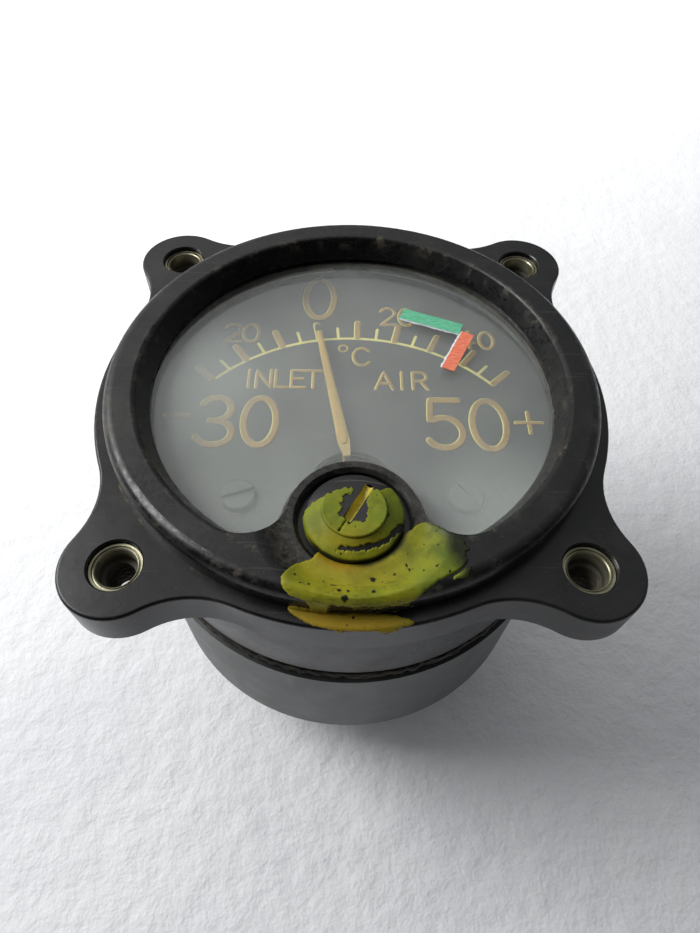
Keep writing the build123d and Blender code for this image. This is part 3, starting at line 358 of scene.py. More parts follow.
class Wiring:
    """Lays shader nodes in a tree and joins them."""

    def __init__(self, tree: bpy.types.NodeTree) -> None:
        """Starts on an empty tree."""
        self.tree = tree
        tree.nodes.clear()

    def add(self, kind: str, inputs: dict | None = None, **settings: object) -> bpy.types.Node:
        """Adds a node.

        Args:
            kind: The node's type, without its ShaderNode prefix.
            inputs: Values, or sockets to link, by input name or number.
            settings: Properties of the node.

        Returns:
            The new node.
        """
        node = self.tree.nodes.new(kind if kind.startswith("Node") else "ShaderNode" + kind)
        for key, value in settings.items():
            setattr(node, key, value)
        for key, value in (inputs or {}).items():
            if isinstance(value, bpy.types.NodeSocket):
                self.tree.links.new(value, node.inputs[key])
            else:
                node.inputs[key].default_value = value
        return node

    def place(self) -> Socket:
        """The place on the piece, in Object coordinates."""
        return self.add("TexCoord").outputs["Object"]

    def axes(self, place: Socket) -> bpy.types.bpy_prop_collection:
        """The three coordinates of a place."""
        return self.add("SeparateXYZ", {0: place}).outputs

    def flat(self, place: Socket) -> Socket:
        """A place with its level taken off."""
        return self.add("VectorMath", {0: place, 1: (1.0, 1.0, 0.0)}, operation="MULTIPLY").outputs[0]

    def far(self, place: Socket, point: Point) -> Socket:
        """Distance of a place from a point."""
        return self.add("VectorMath", {0: place, 1: point}, operation="DISTANCE").outputs["Value"]

    def facing(self, place: Socket, way: Point) -> Socket:
        """How far a place or direction lies along a way."""
        return self.add("VectorMath", {0: place, 1: way}, operation="DOT_PRODUCT").outputs["Value"]

    def mapped(self, place: Socket, turn: float, scale: Point) -> Socket:
        """A place turned about the Z axis and stretched."""
        inputs = {"Vector": place, "Rotation": (0.0, 0.0, turn), "Scale": scale}
        return self.add("Mapping", inputs).outputs[0]

    def noise(self, place: Socket, scale: float | Socket, detail: float = 4.0, rough: float = 0.55) -> Socket:
        """A noise pattern at a scale in cells a metre."""
        inputs = {"Vector": place, "Scale": scale, "Detail": detail, "Roughness": rough}
        return self.add("TexNoise", inputs).outputs[0]

    def sharpen(self, value: Socket, low: float, high: float) -> Socket:
        """Maps low to 0 and high to 1, eased."""
        inputs = {"Value": value, "From Min": low, "From Max": high}
        return self.add("MapRange", inputs, interpolation_type="SMOOTHSTEP").outputs[0]

    def reckon(self, work: str, first: object, second: object = 0.5) -> Socket:
        """One sum on two values."""
        return self.add("Math", {0: first, 1: second}, operation=work).outputs[0]

    def times(self, *values: object) -> Socket:
        """The product of two or more values.

        Args:
            values: The values or sockets.

        Returns:
            The product.
        """
        product = values[0]
        for value in values[1:]:
            product = self.reckon("MULTIPLY", product, value)
        return product

    def plus(self, first: object, second: object) -> Socket:
        """The sum of two values."""
        return self.reckon("ADD", first, second)

    def off(self, value: Socket, middle: float) -> Socket:
        """How far a value is from a middle, either way."""
        return self.reckon("ABSOLUTE", self.reckon("SUBTRACT", value, middle))

    def mix(self, share: object, first: object, second: object) -> Socket:
        """A mix of two colours."""
        return self.add("Mix", {0: share, 6: first, 7: second}, data_type="RGBA").outputs[2]

    def blend(self, share: object, first: object, second: object) -> Socket:
        """A mix of two values."""
        return self.add("Mix", {0: share, 2: first, 3: second}, data_type="FLOAT").outputs[0]


def tint(red: float, green: float, blue: float) -> tuple[float, float, float, float]:
    """A colour as the shader's linear values.

    Args:
        red: Red on a screen, 0 to 255.
        green: Green on a screen.
        blue: Blue on a screen.

    Returns:
        Linear red, green and blue, and 1 for the alpha.
    """
    screen = np.array([red, green, blue]) / 255
    linear = np.where(screen <= 0.04045, screen / 12.92, ((screen + 0.055) / 1.055) ** 2.4)
    return tuple(linear.tolist()) + (1.0,)


def effect_group(name: str, takes: dict[str, float], gives: list[str]) -> tuple[bpy.types.NodeTree, Wiring]:
    """Starts a shader node group with float inputs and outputs.

    Args:
        name: Name of the group.
        takes: Inputs and their first values.
        gives: Outputs.

    Returns:
        The group and the wiring inside it.
    """
    group = bpy.data.node_groups.new(name, "ShaderNodeTree")
    for key, value in takes.items():
        socket = group.interface.new_socket(key, in_out="INPUT", socket_type="NodeSocketFloat")
        socket.default_value = value
    for key in gives:
        group.interface.new_socket(key, in_out="OUTPUT", socket_type="NodeSocketFloat")
    return group, Wiring(group)


class Effects:
    """The surface effects that several finishes share, each built once."""

    def __init__(self) -> None:
        """Builds the groups."""
        self.grain = self.build_grain()
        self.dust = self.build_dust()
        self.scratches = self.build_scratches()

    def build_grain(self) -> bpy.types.NodeTree:
        """Fine mottling: a broad noise for the tone and a fine one for the height.

        Returns:
            The group.
        """
        group, w = effect_group("fine_grain", {"Scale": 900.0}, ["Tone", "Height"])
        scale = w.add("NodeGroupInput").outputs[0]
        place = w.place()
        broad = w.noise(place, w.times(scale, 0.16), 5.0, 0.5)
        fine = w.noise(place, scale, 3.0, 0.5)
        w.add("NodeGroupOutput", {0: w.sharpen(broad, 0.3, 0.7), 1: fine})
        return group

    def build_dust(self) -> bpy.types.NodeTree:
        """Dust that lies on faces that look up, in drifts and single grains.

        Returns:
            The group.
        """
        group, w = effect_group("settled_dust", {"Amount": 0.3}, ["Mask"])
        amount = w.add("NodeGroupInput").outputs[0]
        place = w.place()
        lying = w.sharpen(w.axes(w.add("NewGeometry").outputs["Normal"])[2], 0.1, 0.9)
        drift = w.sharpen(w.noise(place, 160.0, 5.0, 0.65), 0.45, 0.75)
        grains = w.sharpen(w.noise(place, 3600.0, 2.0), 0.66, 0.74)
        heaped = w.reckon("MAXIMUM", w.times(drift, 0.35), grains)
        w.add("NodeGroupOutput", {0: w.times(heaped, lying, amount)})
        return group

    def build_scratches(self) -> bpy.types.NodeTree:
        """Hairline scratches: noise stretched along one way and cut to thin lines.

        Returns:
            The group.
        """
        group, w = effect_group("hairline_scratches", {"Scale": 100.0, "Amount": 0.3}, ["Mask"])
        taken = w.add("NodeGroupInput").outputs
        place = w.place()
        lines = []
        for turn, stretch in ((0.5, 22.0), (-0.9, 30.0)):
            band = w.noise(w.mapped(place, turn, (1.0, stretch, 1.0)), taken[0], 1.0, 0.5)
            lines.append(w.sharpen(band, 0.71, 0.75))
        w.add("NodeGroupOutput", {0: w.times(w.reckon("MAXIMUM", *lines), taken[1])})
        return group


EFFECTS = Effects()


@dataclass(frozen=True)
class Finish:
    """A plain finish: two tones in a fine grain, with dust and hairline scratches.

    Tones are colours on a screen, 0 to 255. The grain's scale is in cells a metre, and its
    height in metres.
    """

    name: str
    tone: Tone = (60, 60, 58)
    other_tone: Tone = (80, 80, 76)
    roughness: float = 0.5
    roughness_spread: float = 0.12
    metallic: float = 0.0
    grain_scale: float = 900.0
    grain_height: float = 0.00002
    dust: float = 0.1
    dust_tone: Tone = (150, 146, 136)
    scratches: float = 0.1

    def material(self) -> bpy.types.Material:
        """The material of this finish, built the first time that it is asked for.

        Returns:
            The material.
        """
        made = bpy.data.materials.get(self.name + "_finish")
        if made is None:
            made = bpy.data.materials.new(self.name + "_finish")
            made.use_nodes = True
            self.wire(Wiring(made.node_tree))
        return made

    def grain(self, w: Wiring) -> bpy.types.bpy_prop_collection:
        """The shared grain at this finish's scale: its Tone and Height."""
        return w.add("Group", {"Scale": self.grain_scale}, node_tree=EFFECTS.grain).outputs

    def dust_mask(self, w: Wiring) -> Socket:
        """The shared dust in this finish's amount."""
        return w.add("Group", {"Amount": self.dust}, node_tree=EFFECTS.dust).outputs[0]

    def tones(self, w: Wiring, share: Socket) -> Socket:
        """The finish's two tones, mixed by a share."""
        return w.mix(share, tint(*self.tone), tint(*self.other_tone))

    def soiled(self, w: Wiring, colour: Socket, dust: Socket) -> Socket:
        """A colour under hairline scratches and dust.

        Args:
            w: Wiring of the material.
            colour: The clean colour.
            dust: Where the dust lies.

        Returns:
            The soiled colour.
        """
        lines = w.add("Group", {"Amount": self.scratches}, node_tree=EFFECTS.scratches).outputs[0]
        for mask in (lines, dust):
            colour = w.mix(mask, colour, tint(*self.dust_tone))
        return colour

    def wander(self, w: Wiring, share: Socket) -> Socket:
        """The roughness, wandering over its spread by a share."""
        return w.blend(share, self.roughness, self.roughness + self.roughness_spread)

    def wire(self, w: Wiring) -> None:
        """Lays the nodes of the finish.

        Args:
            w: Wiring of the material.
        """
        grain, dust = self.grain(w), self.dust_mask(w)
        colour = self.soiled(w, self.tones(w, grain["Tone"]), dust)
        rough = w.blend(dust, self.wander(w, grain["Tone"]), 0.9)
        self.shade(w, colour, rough, grain["Height"])

    def shade(self, w: Wiring, colour: object, rough: object, height: Socket, **sockets: object) -> None:
        """Lays the shader with its bump.

        Args:
            w: Wiring of the material.
            colour: Base colour.
            rough: Roughness.
            height: Height that makes the bump.
            sockets: Other inputs of the shader, with _ for a space.
        """
        bump = w.add("Bump", {"Height": height, "Distance": self.grain_height, "Strength": 1.0})
        inputs = {"Base Color": colour, "Roughness": rough, "Metallic": self.metallic}
        inputs["Normal"] = bump.outputs[0]
        inputs.update({key.replace("_", " "): value for key, value in sockets.items()})
        w.add("OutputMaterial", {0: w.add("BsdfPrincipled", inputs).outputs[0]})


@dataclass(frozen=True)
class CaseFinish(Finish):
    """Black moulding, rubbed brown and grey along the bezel and dusty round the boss, with a painted
    highlight along the bezel's left foot.
    """

    rub_tone: Tone = (92, 86, 72)
    faded_tone: Tone = (46, 46, 44)
    foot_highlight_tone: Tone = (120, 104, 76)
    rounding_radius: float = 0.028075
    mouth_radius: float = 0.0249
    foot_radius: float = 0.02875
    boss: Point = (0.0, -0.019, 0.0)
    boss_rise: float = 0.0076

    def wire(self, w: Wiring) -> None:
        """Lays the nodes of the moulding with its rubbed edges, dust and scuffs.

        Args:
            w: Wiring of the material.
        """
        grain, dust = self.grain(w), self.dust_mask(w)
        place = w.place()
        x, _, level = w.axes(place)
        flat = w.flat(place)
        radius = w.far(flat, (0.0, 0.0, 0.0))
        raised = w.sharpen(level, 0.0005, 0.002)
        patches = w.sharpen(w.noise(place, 420.0, 6.0, 0.7), 0.52, 0.66)
        mottle = w.sharpen(w.noise(place, 1500.0, 5.0, 0.75), 0.4, 0.62)
        haze = w.sharpen(w.noise(place, 90.0, 5.0, 0.6), 0.4, 0.75)
        # Hands and panels rub the outer turn of the bezel and the mouth of the opening
        turn_band = w.times(w.sharpen(w.off(radius, self.rounding_radius), 0.0011, 0.0), 0.7)
        mouth_band = w.sharpen(w.off(radius, self.mouth_radius), 0.0009, 0.0)
        rubbed = w.times(w.reckon("MAXIMUM", turn_band, mouth_band), raised, patches)
        # Brown dust clings to the boss's rise, and a painted highlight draws a thin light line along the
        # bezel's left foot
        boss_band = w.sharpen(w.off(w.far(flat, self.boss), self.boss_rise), 0.0022, 0.0003)
        mottle = w.times(mottle, raised)
        # Painted highlight: a thin light line round the bezel's foot, on its left side only
        foot = w.sharpen(w.off(radius, self.foot_radius), 0.00018, 0.00004)
        foot = w.times(foot, w.sharpen(w.off(level, 0.0), 0.0005, 0.0001), w.sharpen(x, -0.008, -0.02))
        colour = self.tones(w, grain["Tone"])
        colour = w.mix(w.times(haze, 0.3), colour, tint(*self.faded_tone))
        colour = w.mix(w.times(boss_band, mottle, 0.45), colour, tint(*self.rub_tone))
        colour = w.mix(w.times(foot, patches, 0.6), colour, tint(*self.foot_highlight_tone))
        colour = w.mix(w.times(rubbed, 0.65), colour, tint(*self.rub_tone))
        colour = self.soiled(w, colour, dust)
        rough = w.blend(w.times(mottle, 0.5), self.wander(w, haze), 0.62)
        rough = w.blend(rubbed, rough, 0.6)
        self.shade(w, colour, rough, grain["Height"], Specular_IOR_Level=0.36)


@dataclass(frozen=True)
class GlassFinish(Finish):
    """Window glass with a thin film of handling marks, which lets most of the lamplight through."""

    clear_tone: Tone = (250, 252, 249)
    smeared: float = 0.03
    light_through: float = 0.92

    def wire(self, w: Wiring) -> None:
        """Lays the nodes of the glass, whose film only changes its roughness.

        Args:
            w: Wiring of the material.
        """
        film = w.sharpen(w.noise(w.place(), 140.0, 6.0, 0.6), 0.35, 0.75)
        shadow = w.times(w.add("LightPath").outputs["Is Shadow Ray"], self.light_through)
        cover = w.reckon("SUBTRACT", 1.0, shadow)
        rough = w.blend(film, self.roughness, self.smeared)
        self.shade(w, tint(*self.clear_tone), rough, film, Transmission_Weight=1.0, IOR=1.5, Alpha=cover)


@dataclass(frozen=True)
class HazeAndPaintedVeilFinish(Finish):
    """A milky film on glass: pale grey, thin at the top, thicker near and in two patches. The thickening is
    painted light: it stands in for the veil of light reflected in the glass, and lightens the left where the
    bezel shades the glass.
    """

    thinnest: float = 0.036
    patches: tuple[tuple[Point, float, float], ...] = (
        ((-0.0225, 0.001, -0.0013), 0.017, 0.1), ((0.0165, -0.018, -0.0013), 0.0125, 0.075),
    )

    def wire(self, w: Wiring) -> None:
        """Lays the nodes of the film, whose cover is its alpha.

        Args:
            w: Wiring of the material.
        """
        place = w.place()
        # Painted reflection: the film thickens towards the near side, where the glass reflects more light
        near = w.sharpen(w.axes(place)[1], -0.004, -0.022)
        clouds = w.sharpen(w.noise(place, 90.0, 5.0, 0.6), 0.3, 0.7)
        cover = w.plus(w.times(near, 0.032), w.times(clouds, 0.014))
        # Painted light: two patches of thicker film, the left one where the bezel shades the glass
        for middle, reach, extra in self.patches:
            cover = w.plus(cover, w.times(w.sharpen(w.far(place, middle), reach, 0.0), extra))
        alpha = w.plus(cover, self.thinnest)
        self.shade(w, self.tones(w, clouds), self.roughness, clouds, Alpha=alpha, Specular_IOR_Level=0.0)


@dataclass(frozen=True)
class LuminousFinish(Finish):
    """Old luminous paint: tan, matt, with fine grains and faint brush lines."""

    speck_tone: Tone = (188, 170, 108)

    def wire(self, w: Wiring) -> None:
        """Lays the nodes of the luminous paint.

        Args:
            w: Wiring of the material.
        """
        grain = self.grain(w)
        specks = w.sharpen(w.noise(w.place(), 5200.0, 2.0), 0.45, 0.7)
        colour = w.mix(w.times(specks, 0.25), self.tones(w, grain["Tone"]), tint(*self.speck_tone))
        self.shade(w, colour, self.roughness, w.plus(grain["Height"], specks))


@dataclass(frozen=True)
class PointerFinish(Finish):
    """The pointer under its paint: cream along the blade and dial black at its very tip."""

    pivot: Point = (0.0, -0.0115, 0.0)
    painted: float = 0.0244
    tip_tone: Tone = (56, 58, 56)

    def wire(self, w: Wiring) -> None:
        """Lays the nodes of the pointer, by the distance from its pivot.

        Args:
            w: Wiring of the material.
        """
        grain = self.grain(w)
        away = w.far(w.flat(w.place()), self.pivot)
        tip = w.sharpen(away, self.painted - 0.00005, self.painted + 0.00005)
        colour = w.mix(tip, self.tones(w, grain["Tone"]), tint(*self.tip_tone))
        self.shade(w, colour, self.roughness, grain["Height"])


@dataclass(frozen=True)
class InsertFinish(Finish):
    """Dulled brass of an insert, turned dark down its bore by painted shade."""

    bore_shade_tone: Tone = (26, 22, 15)

    def wire(self, w: Wiring) -> None:
        """Lays the nodes of the insert, by the level.

        Args:
            w: Wiring of the material.
        """
        grain = self.grain(w)
        level = w.axes(w.place())[2]
        ragged = w.times(w.reckon("SUBTRACT", grain["Tone"], 0.5), 0.0006)
        # Painted shade: the bore turns dark from a ragged edge below its rim downwards
        bore_shade = w.sharpen(w.plus(level, ragged), -0.0009, -0.0022)
        colour = w.mix(self.dust_mask(w), self.tones(w, grain["Tone"]), tint(*self.dust_tone))
        colour = w.mix(w.times(bore_shade, 0.85), colour, tint(*self.bore_shade_tone))
        rough = w.blend(bore_shade, self.roughness, 0.6)
        self.shade(w, colour, rough, grain["Height"], Metallic=w.blend(bore_shade, self.metallic, 0.3))


@dataclass(frozen=True)
class PaperFinish(Finish):
    """Coloured paper strip with fine fibres."""

    def wire(self, w: Wiring) -> None:
        """Lays the nodes of the paper strip.

        Args:
            w: Wiring of the material.
        """
        fibres = w.noise(w.mapped(w.place(), 0.4, (1.0, 5.0, 1.0)), 1500.0, 4.0)
        fibres = w.sharpen(fibres, 0.4, 0.65)
        self.shade(w, self.tones(w, fibres), self.roughness, fibres)


@dataclass(frozen=True)
class LacquerFinish(Finish):
    """Tamper lacquer: yellow green, orange where thick, dark where it wears through, and dark olive where
    shade is painted.

    The piece's attributes warm, cool, shade, worn and pit say where each tone lies. The shade attribute is
    painted shade, and cool is partly painted shade too, turning the lacquer a darker green.
    """

    orange: Tone = (146, 118, 28)
    green: Tone = (94, 116, 34)
    painted_shade_olive: Tone = (34, 38, 20)
    scuff: Tone = (72, 60, 22)
    black: Tone = (22, 24, 16)

    def wire(self, w: Wiring) -> None:
        """Lays the nodes of the lacquer with its tones, scuffs and specks.

        Args:
            w: Wiring of the material.
        """
        keys = ("warm", "cool", "shade", "worn", "pit")
        masks = (w.add("Attribute", attribute_name=key).outputs["Fac"] for key in keys)
        warm, cool, shade, worn, pit = masks
        place = w.place()
        mottle = w.sharpen(w.noise(place, 420.0, 5.0, 0.6), 0.35, 0.7)
        streak = w.noise(w.mapped(place, 0.0, (0.55, 2.0, 1.6)), 2000.0, 4.0, 0.65)
        scuffs = w.times(w.sharpen(streak, 0.55, 0.68), worn)
        specks = w.sharpen(w.noise(place, 1500.0, 2.0, 0.5), 0.70, 0.73)
        holes = w.reckon("MAXIMUM", specks, pit)
        # Painted shade: the shade attribute, eased by the mottle, turns the lacquer dark olive
        edge = w.sharpen(w.plus(shade, w.times(mottle, 0.3)), 0.1, 1.15)
        colour = self.tones(w, mottle)
        tones = (self.orange, self.green, self.scuff, self.painted_shade_olive, self.black)
        for mask, tone in zip((warm, cool, scuffs, edge, holes), tones):
            colour = w.mix(mask, colour, tint(*tone))
        height = w.reckon("SUBTRACT", mottle, w.plus(holes, scuffs))
        self.shade(w, colour, self.wander(w, mottle), height, Specular_IOR_Level=0.2)


class Finishes:
    """Every finish on the indicator, by the nodes' material slots and by new pieces."""

    case = CaseFinish(
        "black_moulding", (13, 13, 14), (20, 20, 20), 0.25, 0.16,
        grain_height=0.000012, dust=0.12, scratches=0.05,
    )
    can = Finish("rear_case_enamel", (70, 72, 70), (80, 82, 80), 0.4, 0.1, grain_scale=1500.0)
    brass_thread = InsertFinish(
        "old_brass", (160, 156, 134), (118, 114, 92), 0.34, 0.2, 0.75, grain_scale=2400.0, dust=0.3,
    )
    pointer = PointerFinish("pointer_cream", (162, 142, 80), (146, 126, 70), 0.6, grain_scale=2400.0)
    glass = GlassFinish("window_glass", roughness=0.005, grain_height=0.000001)
    rubber = Finish(
        "gasket_rubber", (20, 19, 17), (70, 62, 50), 0.8, 0.1,
        grain_scale=4200.0, grain_height=0.0001, dust=0.5,
    )
    spring = Finish("spring_steel", (120, 120, 118), (96, 96, 92), 0.35, 0.15, 1.0)
    green_paper = PaperFinish("green_paper", (92, 184, 142), (122, 206, 168), 0.75, grain_height=0.00003)
    red_paper = PaperFinish("red_paper", (238, 118, 86), (248, 150, 118), 0.75, grain_height=0.00003)
    white_paper = PaperFinish("white_paper", (214, 218, 224), (236, 238, 242), 0.8, grain_height=0.00003)
    screw = Finish("black_screw", (15, 15, 16), (23, 23, 24), 0.5, 0.15, scratches=0.2)
    haze = HazeAndPaintedVeilFinish("glass_haze_and_painted_veil", (206, 212, 210), (216, 221, 219), 0.9)
    dial = Finish(
        "dial_black", (54, 56, 54), (60, 62, 60), 0.55, 0.1,
        grain_scale=2200.0, grain_height=0.00001, dust=0.2,
    )
    dial_screw = Finish(
        "dial_screw_black", (58, 60, 58), (66, 68, 65), 0.5, 0.1, grain_scale=2200.0, grain_height=0.00001,
    )
    cream = Finish(
        "cream_ink", (200, 192, 112), (184, 176, 100), 0.6,
        grain_scale=2600.0, grain_height=0.00001, dust=0.0,
    )
    luminous = LuminousFinish("luminous_paint", (138, 110, 56), (122, 96, 48), 0.75, grain_scale=2400.0)
    pointer_coat = LuminousFinish(
        "pointer_luminous", (160, 130, 64), (144, 116, 54), 0.75, grain_scale=2400.0,
    )
    brass = Finish("brass", (188, 160, 96), (160, 134, 78), 0.3, 0.15, 1.0)
    bronze = Finish("spring_bronze", (186, 138, 90), (160, 116, 72), 0.3, 0.1, 1.0)
    staff = Finish("staff_steel", (170, 170, 170), (150, 150, 150), 0.2, 0.1, 1.0)
    aluminium = Finish("former_aluminium", (200, 200, 202), (180, 180, 184), 0.35, 0.1, 1.0)
    copper = Finish("enamelled_wire", (150, 70, 34), (110, 50, 24), 0.35, 0.1, 0.6, grain_scale=3000.0)
    iron = Finish("soft_iron", (120, 118, 114), (98, 96, 92), 0.45, 0.1, 1.0)
    magnet = Finish("magnet_steel", (74, 76, 80), (58, 60, 64), 0.4, 0.1, 0.8)
    spool = Finish("spool_moulding", (70, 44, 28), (54, 34, 22), 0.45, 0.1)
    fastener = Finish("plated_screw", (150, 148, 140), (120, 118, 110), 0.32, 0.15, 1.0, scratches=0.3)
    socket = Finish("socket_metal", (160, 158, 148), (128, 126, 116), 0.34, 0.16, 1.0, scratches=0.3)
    contact = Finish("contact_metal", (196, 188, 160), (168, 158, 128), 0.25, 0.1, 1.0)
    lacquer = LacquerFinish(
        "tamper_lacquer", (140, 138, 28), (118, 120, 26), 0.44, 0.14, grain_height=0.00003,
    )
    slot_yellow = Finish(
        "slot_lacquer", (214, 200, 66), (172, 156, 44), 0.45, grain_scale=2200.0, grain_height=0.00004,
    )

    by_slot = {
        "case_moulding": case, "rear_case": can, "threaded_brass": brass_thread, "window": glass,
        "gasket_rubber": rubber, "spring_steel": spring, "green_mark": green_paper, "red_mark": red_paper,
        "screw_black": screw, "dial_black": dial, "pointer_paint": luminous, "brass_parts": brass,
        "hairspring_bronze": bronze, "staff_steel": staff, "former_aluminium": aluminium,
        "copper_wire": copper, "soft_iron": iron, "magnet_steel": magnet, "spool_moulding": spool,
        "case_fastener": fastener, "socket_metal": socket, "contact_metal": contact,
    }
    by_node = {"dial_screw_left": dial_screw, "dial_screw_right": dial_screw, "pointer": pointer}


# The pieces


@dataclass
class DialPrint:
    """Scale, numbers and legend on the dial: cream ink with luminous paint over the bold parts."""

    level: float = -5.0
    sunk: float = 0.02
    pivot: float = -11.5
    arc_radius: float = 24.4
    arc_drop: float = 0.2
    coldest: int = -30
    hottest: int = 50
    fine_width: float = 0.42
    bold_width: float = 1.0
    bold_paint_width: float = 0.86
    fine_reach: tuple[float, float] = (0.0, 2.0)
    bold_reach: tuple[float, float] = (0.3, 3.0)
    ink_crown: float = 0.05
    paint_crown: float = 0.12
    slip: tuple[float, float] = (0.05, -0.05)
    # Each sign with its middle across and up, height, widening and stroke width
    signs: tuple[tuple[str, float, float, float, float, float], ...] = (
        ("0", -4.5, 20.7, 8.0, 0.94, 0.95),
        ("2", -16.2, 13.5, 3.3, 1.1, 0.55), ("0", -13.7, 13.5, 3.3, 1.15, 0.55),
        ("2", 5.1, 17.1, 3.3, 1.1, 0.55), ("0", 7.7, 17.0, 3.3, 1.15, 0.55),
        ("4", 15.7, 12.7, 3.1, 1.0, 0.55), ("0", 18.4, 12.6, 3.1, 1.15, 0.55),
        ("3", -16.8, -1.8, 7.4, 1.0, 0.95), ("0", -11.4, -1.8, 7.4, 1.0, 0.95),
        ("5", 11.4, -1.9, 7.5, 1.0, 0.95), ("0", 17.0, -2.0, 7.6, 1.02, 0.95),
        ("-", -21.6, -1.0, 2.9, 1.0, 0.65), ("+", 22.0, -1.7, 3.2, 1.0, 0.6),
        ("o", -1.1, 10.8, 1.15, 1.0, 0.32), ("C", 1.4, 9.3, 3.1, 0.95, 0.5),
        ("I", -13.3, 5.2, 2.9, 1.0, 0.5), ("N", -11.4, 5.2, 2.9, 1.0, 0.5), ("L", -9.1, 5.2, 2.9, 1.0, 0.5),
        ("E", -7.0, 5.2, 2.9, 1.0, 0.5), ("T", -5.0, 5.2, 2.9, 0.95, 0.5),
        ("A", 4.2, 5.1, 2.9, 1.0, 0.5), ("I", 6.5, 5.1, 2.9, 1.0, 0.5), ("R", 8.8, 5.1, 2.9, 1.0, 0.5),
    )

    def scale_angle(self, degree: np.ndarray) -> np.ndarray:
        """Angle of a temperature on the arc, clockwise from the top: -10.2 + 1.205 T - 0.00078 T^2."""
        return -10.2 + 1.205 * degree - 0.00078 * degree**2

    def on_arc(self, degree: np.ndarray, radius: float) -> np.ndarray:
        """Points on a circle a little below the pivot, at the angles of the temperatures."""
        turn = np.radians(self.scale_angle(np.asarray(degree, float)))
        return np.stack([radius * np.sin(turn), self.pivot - self.arc_drop + radius * np.cos(turn)], -1)

    def oval(self, half_width: float) -> np.ndarray:
        """Points round an oval one high: the cosine and the sine of the angle."""
        turn = np.linspace(0, 2 * np.pi, 61)[:-1]
        return np.stack([half_width * np.cos(turn), 0.5 * np.sin(turn)], -1)

    def bend(self, x: float, y: float, rx: float, ry: float, start: float, end: float) -> np.ndarray:
        """Points of an oval arc from one angle to another."""
        turn = np.radians(np.linspace(start, end, 25))
        return np.stack([x + rx * np.cos(turn), y + ry * np.sin(turn)], -1)

    def run(self, *corners: tuple[float, float]) -> np.ndarray:
        """Points along straight runs from corner to corner.

        Args:
            corners: The corners in order.

        Returns:
            The points, one row each.
        """
        corners = np.array(corners, float)
        parts = [a + (b - a) * np.linspace(0, 1, 8)[:, None] for a, b in zip(corners, corners[1:])]
        return np.concatenate([parts[0]] + [part[1:] for part in parts[1:]])

    def glyph(self, sign: str) -> list[np.ndarray]:
        """The strokes of a sign, one high and centred.

        Args:
            sign: The sign.

        Returns:
            The path of each stroke.
        """
        bend, run = self.bend, self.run
        shapes = {
            "0": [[self.oval(0.27)]],
            "2": [[bend(0, 0.22, 0.27, 0.28, 160, -25), run((0.2, 0.02), (-0.27, -0.5), (0.3, -0.5))]],
            "3": [
                [bend(-0.02, 0.25, 0.25, 0.25, 155, -80), run((-0.02, 0.0), (-0.09, 0.0))],
                [bend(-0.02, -0.25, 0.3, 0.25, 88, -155)],
            ],
            "4": [[run((0.12, 0.5), (-0.3, -0.2), (0.32, -0.2))], [run((0.12, 0.5), (0.12, -0.5))]],
            "5": [[run((0.26, 0.5), (-0.2, 0.5), (-0.23, 0.06)), bend(-0.01, -0.19, 0.3, 0.31, 128, -148)]],
            "-": [[run((-0.5, 0), (0.5, 0))]],
            "+": [[run((-0.5, 0), (0.5, 0))], [run((0, -0.5), (0, 0.5))]],
            "o": [[self.oval(0.4995)]],
            "C": [[bend(0, 0, 0.4, 0.5, 42, 318)]],
            "A": [[run((-0.38, -0.5), (0, 0.5), (0.38, -0.5))], [run((-0.25, -0.18), (0.25, -0.18))]],
            "I": [[run((0, 0.5), (0, -0.5))]],
            "R": [
                [
                    run((-0.3, -0.5), (-0.3, 0.5), (0.05, 0.5)), bend(0.05, 0.24, 0.26, 0.26, 85, -90),
                    run((0, -0.02), (-0.26, -0.02)),
                ],
                [run((0.05, -0.02), (0.34, -0.5))],
            ],
            "T": [[run((-0.36, 0.5), (0.36, 0.5))], [run((0, 0.5), (0, -0.5))]],
            "E": [
                [run((0.28, 0.5), (-0.28, 0.5), (-0.28, -0.5), (0.3, -0.5))],
                [run((-0.28, 0.02), (0.22, 0.02))],
            ],
            "N": [[run((-0.32, -0.5), (-0.32, 0.5), (0.32, -0.5), (0.32, 0.5))]],
            "L": [[run((-0.26, 0.5), (-0.26, -0.5), (0.28, -0.5))]],
        }
        return [np.concatenate(parts) for parts in shapes[sign]]

    def build(self) -> None:
        """Lays the ink and the paint on the dial."""
        ink, paint = [], []
        foot = self.level - self.sunk
        arc = self.on_arc(np.linspace(self.coldest, self.hottest, 120), self.arc_radius)
        ink.append(paint_stroke(arc, self.fine_width, self.ink_crown, foot, False))
        for degree in range(self.coldest, self.hottest + 1, 5):
            bold = degree % 10 == 0
            reach = self.bold_reach if bold else self.fine_reach
            start, end = (self.on_arc(degree, self.arc_radius + step)[None] for step in reach)
            line = start + (end - start) * np.linspace(0, 1, 6)[:, None]
            width = self.bold_width if bold else self.fine_width
            ink.append(paint_stroke(line, width, self.ink_crown, foot, False))
            if bold:
                line = line + self.slip
                paint.append(paint_stroke(line, self.bold_paint_width, self.paint_crown, foot, False))
        for sign, x, y, height, widen, width in self.signs:
            for path in self.glyph(sign):
                placed = path * [height * widen, height] + [x, y]
                closed = sign in "0o"
                ink.append(paint_stroke(placed, width, self.ink_crown, foot, closed))
                paint.append(paint_stroke(placed + self.slip, width - 0.1, self.paint_crown, foot, closed))
        make_piece("dial_ink", joined(ink), Finishes.cream, Body.CASE, "dial_black")
        make_piece("dial_luminous_paint", joined(paint), Finishes.luminous, Body.CASE, "pointer_paint")


